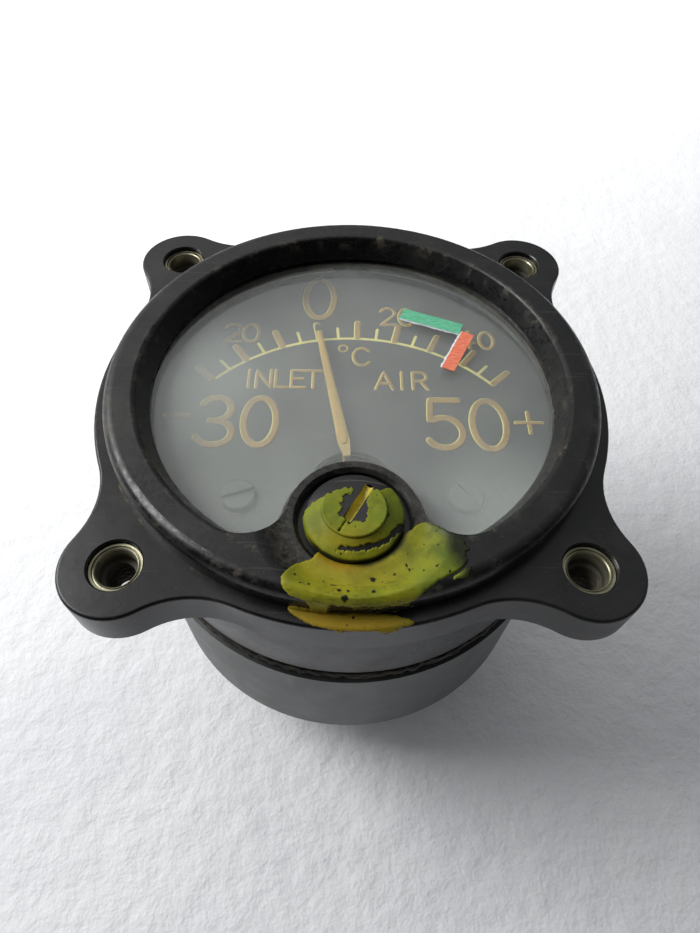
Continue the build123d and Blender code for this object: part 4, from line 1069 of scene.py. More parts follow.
@dataclass
class PointerPaint:
    """Crowned luminous paint along the pointer's blade."""

    pivot: float = -11.5
    turn: float = 10.5
    start: float = 5.2
    end: float = 24.3
    foot: float = -3.42
    crown: float = 0.16
    wide: float = 1.34
    narrow: float = 0.68
    steps: int = 90
    sides: int = 11

    def build(self) -> None:
        """Lays the paint: a half-oval section that narrows along the blade."""
        along = np.linspace(0, 1, self.steps)
        reach = self.start + (self.end - self.start) * along
        ends = np.clip(along * 14, 0.2, 1) * np.clip((1 - along) * 20, 0.2, 1)
        half = (self.wide + (self.narrow - self.wide) * along) / 2 * ends**0.5
        half = half * (1 + 0.05 * rolling_noise(reach, reach * 0, 0.9, 4))
        turn = np.linspace(0, np.pi, self.sides)
        side = half[:, None] * np.cos(turn)
        uneven = 1 + 0.14 * rolling_noise(side * 6, reach[:, None] * 0.4, 1.0, 5)
        level = self.foot + self.crown * np.sin(turn) ** 0.6 * uneven
        lean = np.radians(self.turn)
        x = -reach[:, None] * np.sin(lean) + side * np.cos(lean)
        y = self.pivot + reach[:, None] * np.cos(lean) + side * np.sin(lean)
        points = np.stack([x, y, level], -1).reshape(-1, 3)
        cap = end_cap(self.sides)
        faces = strip_faces(self.steps, self.sides, False, True)
        faces = np.concatenate([faces, cap, cap + (self.steps - 1) * self.sides])
        finish = Finishes.pointer_coat
        make_piece("pointer_paint_layer", (points, faces), finish, Body.MOVEMENT, "pointer_paint")


@dataclass
class LacquerSpill:
    """The lacquer that seals the zero screw: a skin on its head and a run down the case."""

    boss: float = -19.0
    boss_radius: float = 7.5
    boss_level: float = 1.8
    boss_rise: float = 2.2
    boss_rounding: float = 2.6
    aperture_radius: float = 23.75
    aperture_blend: float = 3.8
    aperture_slope: float = 25.0
    lip_level: float = 0.55
    lip_blend: float = 0.5
    dip_radius: float = 6.2
    dip_depth: float = 0.45
    bezel_radius: float = 28.575
    crest: float = 3.1
    rounding: float = 1.3
    flange_radius: float = 30.1625
    flange_edge: float = 0.35
    flange_side: float = 4.0
    unroll_radius: float = 28.0
    run_along: tuple[float, float, int] = (-7.5, 13.2, 440)
    run_out: tuple[float, float, int] = (20.3, 34.0, 300)
    run_thickness: float = 0.2
    run_depth: float = 0.09
    head_round: tuple[float, float, int] = (0.0, 2 * np.pi, 421)
    head_out: tuple[float, float, int] = (0.0, 6.88, 200)
    head_thickness: float = 0.13
    head_depth: float = 0.06
    head_gap: float = 5.26
    slot_turn: float = 60.0
    slot_half_width: float = 0.475
    slot_reach: tuple[float, float, int] = (-1.25, 3.05, 60)
    slot_side: tuple[float, float, int] = (-1.0, 1.0, 17)
    slot_floor: float = 2.56
    slot_brim: float = 3.54
    head_section: tuple[tuple[float, float], ...] = (
        (0.0, 3.55), (3.15, 3.55), (3.15, 3.2), (3.3, 3.2), (4.77, 2.25), (4.89, 2.14), (4.97, 1.99),
        (5.0, 1.83), (5.0, 0.85),
    )

    def boss_height(self, from_boss: np.ndarray) -> np.ndarray:
        """Level of the rise around the boss: a slope that two arcs of one radius join to flats.

        Args:
            from_boss: Distance of each point from the boss's middle.

        Returns:
            One level for each point.
        """
        top, bend = self.crest + 0.02, self.boss_rounding
        lean = np.arctan((top - self.boss_level) / self.boss_rise)
        run, reach = bend * np.tan(lean / 2), bend * np.sin(lean)
        start, end = self.boss_radius - run, self.boss_radius + self.boss_rise + run
        foot = self.boss_level + bend - np.sqrt(bend**2 - np.clip(from_boss - start, 0, reach) ** 2)
        head = top - bend + np.sqrt(bend**2 - np.clip(end - from_boss, 0, reach) ** 2)
        slope = self.boss_level + (from_boss - self.boss_radius) * np.tan(lean)
        return np.where(from_boss < start + reach, foot, np.where(from_boss > end - reach, head, slope))

    def outside_mouth(self, x: np.ndarray, y: np.ndarray) -> np.ndarray:
        """Distance outwards from the edge of the opening over the dial.

        It is how far a point lies past the big circle or inside the boss's circle, whichever
        is more. In the wedge of a rounded corner it is the distance from the corner arc's
        middle, less the arc's radius.

        Args:
            x: First coordinate of each point.
            y: Second coordinate of each point.

        Returns:
            One distance for each point.
        """
        inner, outer = self.aperture_radius - self.aperture_blend, self.boss_radius + self.aperture_blend
        arc_y = (inner**2 - outer**2 + self.boss**2) / (2 * self.boss)
        arc_x = np.sqrt(inner**2 - arc_y**2)
        first = np.array([arc_x, arc_y]) / inner
        second = -np.array([arc_x, arc_y - self.boss]) / outer
        away_x, away_y = np.abs(x) - arc_x, y - arc_y
        turn = first[0] * second[1] - first[1] * second[0]
        share = (away_x * second[1] - away_y * second[0]) / turn
        other = (first[0] * away_y - first[1] * away_x) / turn
        past_circle = np.hypot(x, y) - self.aperture_radius
        plain = np.maximum(past_circle, self.boss_radius - np.hypot(x, y - self.boss))
        in_corner = np.hypot(away_x, away_y) - self.aperture_blend
        return np.where((share > 0) & (other > 0), in_corner, plain)

    def face_level(self, x: np.ndarray, y: np.ndarray) -> np.ndarray:
        """Level of the front face: the least of the crest, the boss's rise and the opening's wall.

        The edge between face and wall is rounded by a smooth least of the two. Round the
        screw's head the lacquer fills the recess nearly to the top, and dips towards the head.

        Args:
            x: First coordinate of each point.
            y: Second coordinate of each point.

        Returns:
            One level for each point.
        """
        from_boss = np.hypot(x, y - self.boss)
        face = np.minimum(self.boss_height(from_boss), self.crest)
        past_lip = np.clip(self.outside_mouth(x, y), 0, None)
        wall = self.lip_level + past_lip / np.tan(np.radians(self.aperture_slope))
        share = ramp(face - wall, -self.lip_blend, 2 * self.lip_blend)
        level = face * (1 - share) + wall * share - self.lip_blend * share * (1 - share)
        return level - self.dip_depth * ramp(from_boss, self.dip_radius, -1.0) ** 2

    def case_profile(self, turn: np.ndarray, out: np.ndarray) -> np.ndarray:
        """Points on the case, unrolled outwards from the dial's centre.

        Out to the bezel's rounding the unrolled length is the radius. Beyond it the length
        runs round the quarter turn, down the bezel's side, over the flange, round its edge
        and down its side. The level is never above the front face.

        Args:
            turn: Angle of each point, from -Y towards +X, in radians.
            out: Unrolled distance of each point.

        Returns:
            The points.
        """
        bend_start, quarter = self.bezel_radius - self.rounding, np.pi / 2
        bend, side, flange, edge, rim = np.cumsum([
            bend_start, self.rounding * quarter, self.crest - self.rounding,
            self.flange_radius - self.flange_edge - self.bezel_radius, self.flange_edge * quarter,
        ])
        lean = np.clip((out - bend) / self.rounding, 0, quarter)
        turned = np.clip((out - edge) / self.flange_edge, 0, quarter)
        radius = np.minimum(out, bend_start) + self.rounding * np.sin(lean)
        radius = radius + np.clip(out - flange, 0, edge - flange) + self.flange_edge * np.sin(turned)
        level = self.crest - self.rounding * (1 - np.cos(lean)) - np.clip(out - side, 0, flange - side)
        level = level - self.flange_edge * (1 - np.cos(turned)) - np.clip(out - rim, 0, self.flange_side)
        x, y = radius * np.sin(turn), -radius * np.cos(turn)
        return np.stack([x, y, np.minimum(level, self.face_level(x, y))], -1)

    def run_outlines(self) -> list[np.ndarray]:
        """Outlines of the run, unrolled: arc length along the bezel against distance outwards.

        Returns:
            The rounded outline of each part.
        """
        main = [
            (-4.2, 22.6), (-4.6, 23.7), (-4.9, 24.2), (-5.7, 24.5), (-6.3, 24.9), (-6.8, 25.7), (-7.1, 26.7),
            (-7.1, 27.4), (-6.8, 28.0), (-6.0, 28.6), (-5.1, 28.7), (-3.9, 29.2), (-0.9, 29.2), (1.4, 29.2),
            (4.3, 29.4), (5.3, 29.0), (6.3, 28.4), (7.2, 27.9), (8.2, 27.6), (9.4, 27.4), (10.3, 27.2),
            (11.4, 26.9), (11.8, 26.3), (11.8, 25.9), (12.6, 25.7), (12.3, 25.3), (12.8, 25.0), (12.2, 24.3),
            (11.9, 23.8), (11.1, 22.5), (10.6, 21.6), (9.6, 20.7), (8.9, 20.8), (8.3, 20.9), (7.9, 21.2),
            (7.2, 21.3), (6.2, 21.0), (4.0, 21.0),
        ]
        lobe = [
            (-6.3, 31.2), (-6.0, 30.6), (-4.9, 30.5), (-3.6, 30.6), (-2.2, 30.6), (0.5, 30.8), (2.9, 31.2),
            (4.4, 31.7), (5.7, 32.5), (4.4, 32.7), (2.2, 32.8), (0.0, 32.8), (-2.3, 32.7), (-4.0, 32.4),
            (-5.1, 31.9), (-5.9, 31.7),
        ]
        bridge = [(-4.7, 28.4), (-1.4, 28.4), (-1.9, 29.8), (-1.2, 31.0), (-4.2, 31.0), (-4.0, 30.0)]
        patch = [
            (11.7, 27.3), (11.4, 27.8), (10.8, 28.1), (10.0, 28.0), (9.3, 27.9), (9.6, 27.6), (10.4, 27.4),
            (11.2, 27.2),
        ]
        drip = [(1.9, 32.5), (2.1, 33.1), (2.9, 33.7), (3.7, 33.3), (4.0, 32.6)]
        small_drip = [(-1.8, 32.6), (-1.5, 33.0), (-1.0, 33.1), (-0.7, 32.7)]
        return [smooth_outline(part) for part in (main, lobe, bridge, patch, drip, small_drip)]

    def drape(
        self, base: np.ndarray, normal: np.ndarray, rise: np.ndarray, least: float, depth: float, wrap: bool
    ) -> Mesh:
        """A skin of lacquer over a surface.

        Args:
            base: Grid of points on the surface.
            normal: Directions out of the surface, of any length.
            rise: Height of the skin at each point.
            least: Height below which the lacquer ends.
            depth: How far the skin's foot lies below the surface.
            wrap: Whether the last row of points lies on the first.

        Returns:
            The points and the faces.
        """
        normal = normal / (np.linalg.norm(normal, axis=-1, keepdims=True) + 1e-12)
        keep = cells_shown(rise > least)
        return closed_skin(base + normal * rise[..., None], base - normal * depth, keep, wrap)

    def worn_depth(self, along: np.ndarray, out: np.ndarray) -> np.ndarray:
        """How far a point of the unrolled run lies inside its ragged edge, worn and frayed.

        Args:
            along: Arc length of each point along the bezel.
            out: Unrolled distance of each point.

        Returns:
            One depth for each point, negative outside the lacquer.
        """
        depth = np.maximum.reduce([inside_distance(along, out, part) for part in self.run_outlines()])
        depth = depth + 0.05 * rolling_noise(along, out, 0.45, 11)
        depth = depth + 0.04 * rolling_noise(along, out, 0.16, 12)
        # The lower edge of the bezel has worn the lacquer to flecks
        chips = rolling_noise(along * 0.5, out * 1.3, 0.3, 21)
        chips = chips + 0.7 * rolling_noise(along * 0.6, out * 1.5, 0.14, 22)
        band = np.array([(-2.4, 29.0), (4.9, 29.2), (5.4, 30.4), (4.5, 31.3), (0.0, 31.0), (-2.6, 30.7)])
        worn = inside_distance(along, out, band) + 0.2 * rolling_noise(along, out, 0.5, 23)
        depth = np.where(worn > 0, 0.06 * (chips - 0.42), np.minimum(depth, 0.4))
        tatters = np.clip(rolling_noise(along, out, 0.25, 24) + 0.1, 0, 1)
        return depth - 0.3 * ramp(along, 10.9, 0.8) * tatters

    def build_run(self) -> None:
        """Drapes the run over the boss, the bezel and the flange."""
        along, out = grid(self.run_along, self.run_out)
        base = self.case_profile(along / self.unroll_radius, out)
        lift, drop = (np.stack([np.gradient(base[..., k], axis=way) for k in range(3)], -1) for way in (0, 1))
        depth = self.worn_depth(along, out)
        uneven = 1 + 0.2 * rolling_noise(along, out, 2.4, 31) + 0.05 * rolling_noise(along, out, 0.6, 32)
        # Along the opening's edge, right of the boss, the lacquer stands up in a lip
        x, y = base[..., 0], base[..., 1]
        lip = ramp(along, 6.5, 2.0) * bell(self.outside_mouth(x, y), 0.9, 0.5)
        swell = self.run_thickness * uneven + 0.16 * lip
        rim = ramp(depth, 0.0, 0.3)
        rise = np.where(depth > 0, swell * np.sqrt(1 - (1 - rim) ** 2), np.clip(depth, -0.06, 0))
        rise = np.where(np.hypot(x, y - self.boss) < self.head_gap, -0.06, rise)
        skin = self.drape(base, np.cross(drop, lift), rise, -0.03, self.run_depth, False)
        piece = make_piece("case_lacquer_run", skin, Finishes.lacquer, Body.CASE, "case_moulding")
        self.tone_run(piece)

    def pit_tone(self, along: np.ndarray, radius: np.ndarray, level: np.ndarray) -> np.ndarray:
        """How far a point lies in one of the black pits: full within its size, and eased off past it.

        Args:
            along: Arc length of each point along the bezel.
            radius: Distance of each point from the dial's centre.
            level: Level of each point.

        Returns:
            A tone from 0 to 1 for each point.
        """
        pits = (
            (1.9, 26.0, 0.27), (-1.5, 27.3, 0.2), (-0.6, 27.4, 0.15), (-0.9, 28.2, 0.3), (4.2, 25.7, 0.16),
            (1.8, 27.5, 0.2), (-4.4, 27.1, 0.1), (-3.1, 26.4, 0.09), (-6.0, 26.4, 0.1), (9.6, 24.0, 0.13),
        )
        ragged = 0.08 * rolling_noise(along, radius, 0.15, 25)
        away = [np.hypot(along - pit_along, radius - pit_out) - size for pit_along, pit_out, size in pits]
        return ramp(np.minimum.reduce(away) + ragged, 0.06, -0.12) * (level > 0.9)

    def head_surface(self, out: np.ndarray) -> tuple[np.ndarray, np.ndarray]:
        """Radius and level on the head, unrolled from its middle over the button and down its side.

        Args:
            out: Unrolled distance of each point.

        Returns:
            The radius and the level of each point.
        """
        radius, level = np.array(self.head_section).T
        length = np.concatenate([[0.0], np.cumsum(np.hypot(np.diff(radius), np.diff(level)))])
        return np.interp(out, length, radius), np.interp(out, length, level)

    def past_chips(self, x: np.ndarray, y: np.ndarray) -> np.ndarray:
        """How far a point on the unrolled head lies inside the lacquer, past its chips.

        Args:
            x: First coordinate of each point.
            y: Second coordinate of each point.

        Returns:
            One depth for each point.
        """
        top = [
            (-9.0, -0.3), (-6.3, -0.4), (-5.6, 0.2), (-5.1, 1.1), (-4.0, 1.7), (-3.0, 1.5), (-2.3, 1.8),
            (-1.6, 2.2), (-0.9, 2.4), (-0.1, 2.3), (-0.1, 1.8), (-0.8, 1.5), (-1.3, 1.3), (-1.1, 0.9),
            (-1.4, 0.4), (-1.2, -0.1), (-1.6, -0.9), (-1.0, -1.0), (-0.5, -1.9), (-0.3, -1.6), (0.4, -1.5),
            (0.9, -1.7), (1.3, -1.3), (1.2, -0.4), (1.4, 0.3), (1.2, 0.9), (1.5, 1.4), (1.5, 2.0),
            (2.6, 2.4), (3.8, 3.4), (5.2, 5.0), (9.0, 9.0), (-9.0, 9.0),
        ]
        rim = [
            (-1.7, -4.6), (-1.4, -4.2), (-0.8, -4.3), (-0.2, -4.5), (0.4, -4.4), (0.8, -4.2), (1.3, -4.1),
            (2.0, -3.9), (2.7, -3.6), (3.5, -3.1), (4.3, -2.2), (5.1, -1.3), (5.6, -1.2), (5.3, -1.9),
            (4.5, -2.7), (3.6, -3.6), (2.6, -4.2), (1.2, -4.65), (0.0, -4.8), (-1.2, -4.75), (-2.0, -4.7),
        ]
        step = [
            (3.2, 1.9), (3.5, 1.4), (3.7, 0.6), (3.75, -0.2), (3.6, -1.0), (3.2, -1.7), (3.1, -1.4),
            (3.3, -0.8), (3.3, 0.0), (3.2, 0.8), (3.0, 1.5),
        ]
        chips = [inside_distance(x, y, smooth_outline(outline, 1)) for outline in (top, rim, step)]
        return np.minimum(0.6, -np.maximum.reduce(chips))

    def build_head(self) -> None:
        """Drapes the skin over the screw's head, chipped back round the slot."""
        turn, out = grid(self.head_round, self.head_out)
        radius, level = self.head_surface(out)
        x, y = radius * np.cos(turn), radius * np.sin(turn)
        base = np.stack([x, y + self.boss, level], -1)
        slope = np.gradient(-level, axis=1)
        normal = np.stack([slope * np.cos(turn), slope * np.sin(turn), np.gradient(radius, axis=1)], -1)
        lean = np.radians(self.slot_turn)
        across = np.abs(-x * np.sin(lean) + y * np.cos(lean))
        reach = x * np.cos(lean) + y * np.sin(lean)
        depth = self.past_chips(out * np.cos(turn), out * np.sin(turn))
        depth = depth + 0.13 * rolling_noise(x, y, 0.3, 41) + 0.08 * rolling_noise(x, y, 0.13, 42)
        tatters = np.clip(rolling_noise(turn * 9, out, 0.3, 44) - 0.35, 0, 1)
        depth = depth - 0.5 * tatters * ramp(out, 4.6, 0.6)
        # The slot is open down to its cavity, and only a crack beyond it
        crack = across - 0.09 + 0.05 * rolling_noise(x, y, 0.3, 43)
        open_slot = np.where(reach > -1.5, across - self.slot_half_width - 0.02, crack)
        depth = np.where(reach > -3.1, np.minimum(depth, open_slot), depth)
        depth = np.where(out < 0.3, -0.05, depth)
        swell = self.head_thickness * (1 + 0.25 * rolling_noise(x, y, 0.9, 51))
        rim = ramp(depth, 0.0, 0.2)
        rise = np.where(depth > 0, swell * np.sqrt(1 - (1 - rim) ** 2), np.clip(depth, -0.05, 0))
        rise = rise * np.maximum(ramp(out, 6.95, -0.4), 0.3)
        skin = self.drape(base, normal, rise, -0.02, self.head_depth, True)
        piece = make_piece("zero_screw_lacquer", skin, Finishes.lacquer, Body.ZERO_SCREW, "screw_black")
        self.tone_head(piece)

    def build_slot(self) -> None:
        """Lays the lacquer in the slot, dished between its walls."""
        reach, side = grid(self.slot_reach, self.slot_side)
        lean = np.radians(self.slot_turn)
        across = side * (self.slot_half_width - 0.01)
        x = reach * np.cos(lean) - across * np.sin(lean)
        y = reach * np.sin(lean) + across * np.cos(lean) + self.boss
        bank = np.abs(side) ** 3 * np.clip(1.25 - np.abs(reach - 0.8) / 2.6, 0, 1)
        dish = 2.78 + 0.76 * bank + 0.5 * ramp(reach, 1.7, 1.3) + 0.08 * rolling_noise(reach, side, 0.4, 61)
        top = np.stack([x, y, np.minimum(dish, self.slot_brim)], -1)
        bottom = np.stack([x, y, np.full(x.shape, self.slot_floor)], -1)
        fill = closed_skin(top, bottom, cells_shown(np.ones(x.shape, bool)))
        make_piece("slot_lacquer", fill, Finishes.slot_yellow, Body.ZERO_SCREW, "screw_black")

    def write_tones(self, piece: bpy.types.Object, tones: dict[str, np.ndarray]) -> None:
        """Writes tones from 0 to 1 at the points of a piece.

        Args:
            piece: The piece.
            tones: Name of each attribute with its values.
        """
        for name, values in tones.items():
            layer = piece.data.attributes.new(name, "FLOAT", "POINT")
            layer.data.foreach_set("value", np.clip(values, 0, 1).astype(np.float32))

    def points_of(self, piece: bpy.types.Object) -> np.ndarray:
        """Points of a piece in millimetres.

        Args:
            piece: The piece.

        Returns:
            The coordinates as three rows.
        """
        points = np.empty(len(piece.data.vertices) * 3)
        piece.data.vertices.foreach_get("co", points)
        return points.reshape(-1, 3).T / MM

    def tone_run(self, piece: bpy.types.Object) -> None:
        """Tones the run: orange by the head and down the bezel, green and dark to the right. The darkening is
        painted shade, as is the dark olive under the head, down the bezel's side and below the flange's edge.

        Args:
            piece: The run.
        """
        x, y, z = self.points_of(piece)
        along = np.arctan2(x, -y) * self.unroll_radius
        from_boss = np.hypot(x, y - self.boss)
        wander = rolling_noise(along, z + y, 1.6, 91)
        pool = bell(from_boss, 5.6, 0.7) * bell(x, -1.5, 2.6)
        turned = ramp(z, 2.9, -1.3)
        green_spot = bell(along, 2.0, 1.0) * bell(y, -27.6, 1.1)
        # Painted shade: darker towards the right end, the head's shadow round its foot, and the bezel's steep
        # side
        right = 0.25 * ramp(along, 5.0, 4.0) + 0.75 * ramp(along, 9.8, 1.6)
        painted_head_shadow = 0.75 * bell(from_boss, 5.3, 0.45) * ramp(x, -1.0, 2.0)
        painted_bezel_shade = 1.1 * bell(z, 0.85, 0.6) * (z > 0.25) * np.maximum(ramp(along, -2.6, 0.6), 0.3)
        self.write_tones(piece, {
            "warm": 0.7 * pool + 0.5 * ramp(z, 1.5, -0.6) + 0.34 * turned + 0.2 * wander * turned,
            # The green that deepens to the right is painted shade, besides a green spot and a random wander
            "cool": 0.65 * ramp(x, 2.5, 6.0) + 0.5 * green_spot + 0.2 * wander,
            "shade": right + painted_head_shadow + painted_bezel_shade + 0.5 * ramp(z, -0.28, -0.2),
            "worn": bell(z, 2.3, 0.8) * ramp(y, -25.6, -1.2),
            "pit": self.pit_tone(along, np.hypot(x, y), z),
        })

    def tone_head(self, piece: bpy.types.Object) -> None:
        """Tones the head's skin: green, brighter to the left and near, darker to the right and low; the
        darkening is painted shade.

        Args:
            piece: The skin.
        """
        x, y, z = self.points_of(piece)
        y = y - self.boss
        radius = np.hypot(x, y)
        # Painted shade: greener and darker to the right, dark olive low on the side and to the near right
        right = ramp(x * 0.9 - y * 0.1, 0.2, 3.0)
        near = ramp(y, -1.4, -2.0)
        painted_low_shade = ramp(z, 2.32, -0.3) * np.clip((-1.5 - y) / 2.0 + np.clip(x / 3, 0, 1), 0.15, 1)
        painted_near_right_shade = ramp(x, 2.6, 2.0) * ramp(y, -0.2, -1.6)
        self.write_tones(piece, {
            "warm": 0.25 * near * (radius < 4.2),
            "cool": 0.42 + 0.25 * right - 0.5 * near + 0.15 * rolling_noise(x, y, 1.2, 92),
            "shade": 0.2 * right * ramp(radius, 3.1, -0.8) + 1.1 * painted_low_shade + 0.5 * painted_near_right_shade,
            "worn": 0.15 + 0.4 * (z < 2.2),
            "pit": 0.0 * x,
        })

    def build(self) -> None:
        """Lays all the lacquer."""
        self.build_run()
        self.build_head()
        self.build_slot()


@dataclass
class GlassHazeAndPaintedVeil:
    """The milky film on the inner face of the glass, clear of the zero screw's washer. It is haze, with
    painted light where it thickens.
    """

    level: float = -1.355
    thickness: float = 0.02
    radius: float = 23.95
    washer: float = -19.0
    washer_radius: float = 3.7

    def build(self) -> None:
        """Lays the film as a thin disc with a gap where the washer sits."""
        turn, radius = grid((0.0, 2 * np.pi, 181), (0.0, self.radius, 60))
        x, y = radius * np.cos(turn), radius * np.sin(turn)
        covered = np.hypot(x, y - self.washer) <= self.washer_radius
        top = np.stack([x, y, np.full(x.shape, self.level)], -1)
        bottom = top - np.array([0.0, 0.0, self.thickness])
        film = closed_skin(top, bottom, ~cells_shown(covered), True)
        make_piece("glass_haze_and_painted_veil", film, Finishes.haze, Body.CASE, "window")


@dataclass
class RangeMarkEdges:
    """White paper that shows along the torn edges of the two range marks."""

    level: float = 0.25
    thickness: float = 0.08
    tucked: float = 0.1
    # Each mark with its torn side, middle, length, width and lean
    marks: tuple[tuple[str, int, float, float, float, float, float], ...] = (
        ("green_mark", -1, 10.2, 11.3, 8.0, 1.9, -21.0),
        ("red_mark", 1, 13.2, 6.0, 7.0, 1.6, 63.5),
    )

    def build(self) -> None:
        """Lays a ragged white slip under one long side of each mark."""
        for mark, side, x, y, length, width, lean in self.marks:
            along = np.linspace(-length / 2, length / 2, 120)
            ragged = 0.1 * rolling_noise(along, along * 0, 0.8, 71)
            ragged = ragged + 0.05 * rolling_noise(along, along * 0, 0.25, 72)
            inner = np.full(along.shape, width / 2 - self.tucked)
            outer = width / 2 + np.clip(0.22 + ragged, 0.03, 0.5)
            reach = np.stack([inner, outer], -1) * side
            turn = np.radians(lean)
            slip_x = x + along[:, None] * np.cos(turn) - reach * np.sin(turn)
            slip_y = y + along[:, None] * np.sin(turn) + reach * np.cos(turn)
            bottom = np.stack([slip_x, slip_y, np.full(reach.shape, self.level)], -1)
            top = bottom + np.array([0.0, 0.0, self.thickness])
            slip = closed_skin(top, bottom, cells_shown(np.ones(reach.shape, bool)))
            make_piece(mark + "_edge", slip, Finishes.white_paper, Body.CASE, mark)


@dataclass
class BodySeam:
    """The rough cork-like gasket between the front case and the rear case."""

    top: float = -19.5
    bottom: float = -20.9
    inner_radius: float = 26.76
    outer_radius: float = 28.6
    steps: int = 720
    levels: int = 15

    def build(self) -> None:
        """Turns the gasket, with a crumbled outer face."""
        turn = np.arange(self.steps)[:, None] / self.steps
        share = np.linspace(0, 1, self.levels)[None, :]
        level = self.top + (self.bottom - self.top) * share + 0 * turn
        # The noise closes on itself round the gasket, because it repeats after each lattice
        wrap = 3 * LATTICE * turn
        crumble = 0.16 * rolling_noise(wrap, level, 1.0, 81)
        crumble = crumble + 0.12 * rolling_noise(wrap * 2, level * 2, 1.0, 82)
        radius = self.outer_radius - 0.2 + crumble - 0.15 * np.abs(2 * share - 1) ** 3
        radius = np.minimum(radius, self.outer_radius + 0.1)
        inner = np.array([[self.inner_radius, self.bottom], [self.inner_radius, self.top]])
        inner = np.broadcast_to(inner, (self.steps, 2, 2))
        ring = turned_ring(np.concatenate([np.stack([radius, level], -1), inner], 1), self.steps)
        piece = make_piece("seam_gasket", ring, Finishes.rubber, Body.CASE, "gasket_rubber")
        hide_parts("body_gasket")


@dataclass
class Threads:
    """Turned screw threads on the receptacle and in the four inserts."""

    socket_radius: float = 7.94
    socket_bore: float = 6.9
    socket_rim: float = -56.8
    socket_top: float = -46.2
    socket_pitch: float = 0.9
    socket_depth: float = 0.42
    socket_steps: int = 96
    neck_radius: float = 8.2
    inside_level: float = -40.5
    flange_radius: float = 10.5
    flange_height: float = 1.6
    insert_radius: float = 2.75
    insert_top: float = -0.6
    insert_lead_radius: float = 2.0
    insert_floor: float = -2.6
    insert_thread_radius: float = 1.45
    insert_pitch: float = 0.45
    insert_depth: float = 0.18
    insert_foot: float = -6.8
    insert_steps: int = 64

    def helix_wave(self, level: np.ndarray, steps: int, pitch: float) -> np.ndarray:
        """Depth of a V thread, 0 at its crests and 1 at its roots: a triangle wave of level and turn.

        Args:
            level: Levels down the thread.
            steps: Number of places round the axis.
            pitch: Pitch of the thread.

        Returns:
            One depth for each place round the axis and level.
        """
        phase = (level / pitch - np.arange(steps)[:, None] / steps) % 1.0
        return 1 - np.abs(2 * phase - 1)

    def turned(self, before: list, radius: np.ndarray, level: np.ndarray, after: list) -> Mesh:
        """Turns a section that is a thread between two plain stretches.

        Args:
            before: Corners of the section before the thread.
            radius: Radius of the thread at each place round the axis and level.
            level: Levels down the thread.
            after: Corners of the section after the thread.

        Returns:
            The points and the faces.
        """
        steps = len(radius)
        thread = np.stack(np.broadcast_arrays(radius, level), -1)
        plain = [np.reshape(part, (-1, 2)) for part in (before, after)]
        first, last = (np.broadcast_to(part, (steps,) + part.shape) for part in plain)
        return turned_ring(np.concatenate([first, thread, last], 1), steps)

    def finish_piece(self, name: str, mesh_parts: Mesh, finish: Finish, slot: str, node: str) -> None:
        """Makes a turned metal piece with sharp creases in place of a node of the CAD part.

        Args:
            name: Name of the piece.
            mesh_parts: Its points and faces.
            finish: The finish that dresses it.
            slot: Name of a material slot.
            node: The node whose place it takes.
        """
        piece = make_piece(name, mesh_parts, finish, Body.CASE, slot)
        piece.modifiers.new("edges", "EDGE_SPLIT").split_angle = np.radians(SHARP_EDGE)
        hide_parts(node)

    def build_socket(self) -> None:
        """Turns the receptacle's shell with its coupling thread."""
        bore, rim, top, side = self.socket_bore, self.socket_rim, self.socket_top, self.socket_radius
        level = np.linspace(rim + 0.35, top, 92)[None, :]
        fade = ramp(level, top - 0.6, -0.8) * ramp(level, rim + 0.3, 0.6)
        wave = self.helix_wave(level, self.socket_steps, self.socket_pitch)
        inside, inner_top = self.inside_level, self.inside_level + self.flange_height
        before = [(bore, rim + 0.15), (bore + 0.15, rim), (side - 0.3, rim)]
        after = [
            (self.neck_radius, top), (self.neck_radius, inside), (self.flange_radius, inside),
            (self.flange_radius, inner_top), (bore, inner_top), (bore, -47.5), (bore, -50.0), (bore, -53.0),
        ]
        shell = self.turned(before, side - self.socket_depth * wave * fade, level, after)
        self.finish_piece("threaded_socket", shell, Finishes.socket, "socket_metal", "receptacle_shell")

    def build_inserts(self) -> None:
        """Turns the four inserts: a grooved rim, a wide lead-in and a fine thread with a tail."""
        foot, floor, top = self.insert_foot, self.insert_floor, self.insert_top
        bore, lead, rim = self.insert_thread_radius, self.insert_lead_radius, self.insert_radius
        level = np.linspace(foot + 0.06, floor - 0.04, 60)[None, :]
        wave = self.helix_wave(level, self.insert_steps, self.insert_pitch)
        after = [
            (lead - 0.1, floor), (lead, floor + 0.1), (lead, top - 0.3), (lead + 0.1, top - 0.1),
            (lead + 0.22, top - 0.05), (lead + 0.27, top - 0.22), (lead + 0.4, top - 0.24),
            (lead + 0.46, top - 0.02), (rim - 0.08, top), (rim - 0.02, top - 0.06), (rim - 0.02, foot + 0.2),
            (rim - 0.2, foot), (bore + 0.2, foot),
        ]
        points, faces = self.turned([], bore + self.insert_depth * wave, level, after)
        for number in range(1, 5):
            node = f"mount_insert_{number}"
            low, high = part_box(node)
            placed = points + np.array([(low[0] + high[0]) / 2, (low[1] + high[1]) / 2, 0.0]) / MM
            name = f"threaded_insert_{number}"
            self.finish_piece(name, (placed, faces), Finishes.brass_thread, "threaded_brass", node)

    def build(self) -> None:
        """Turns the receptacle's shell and the inserts."""
        self.build_socket()
        self.build_inserts()


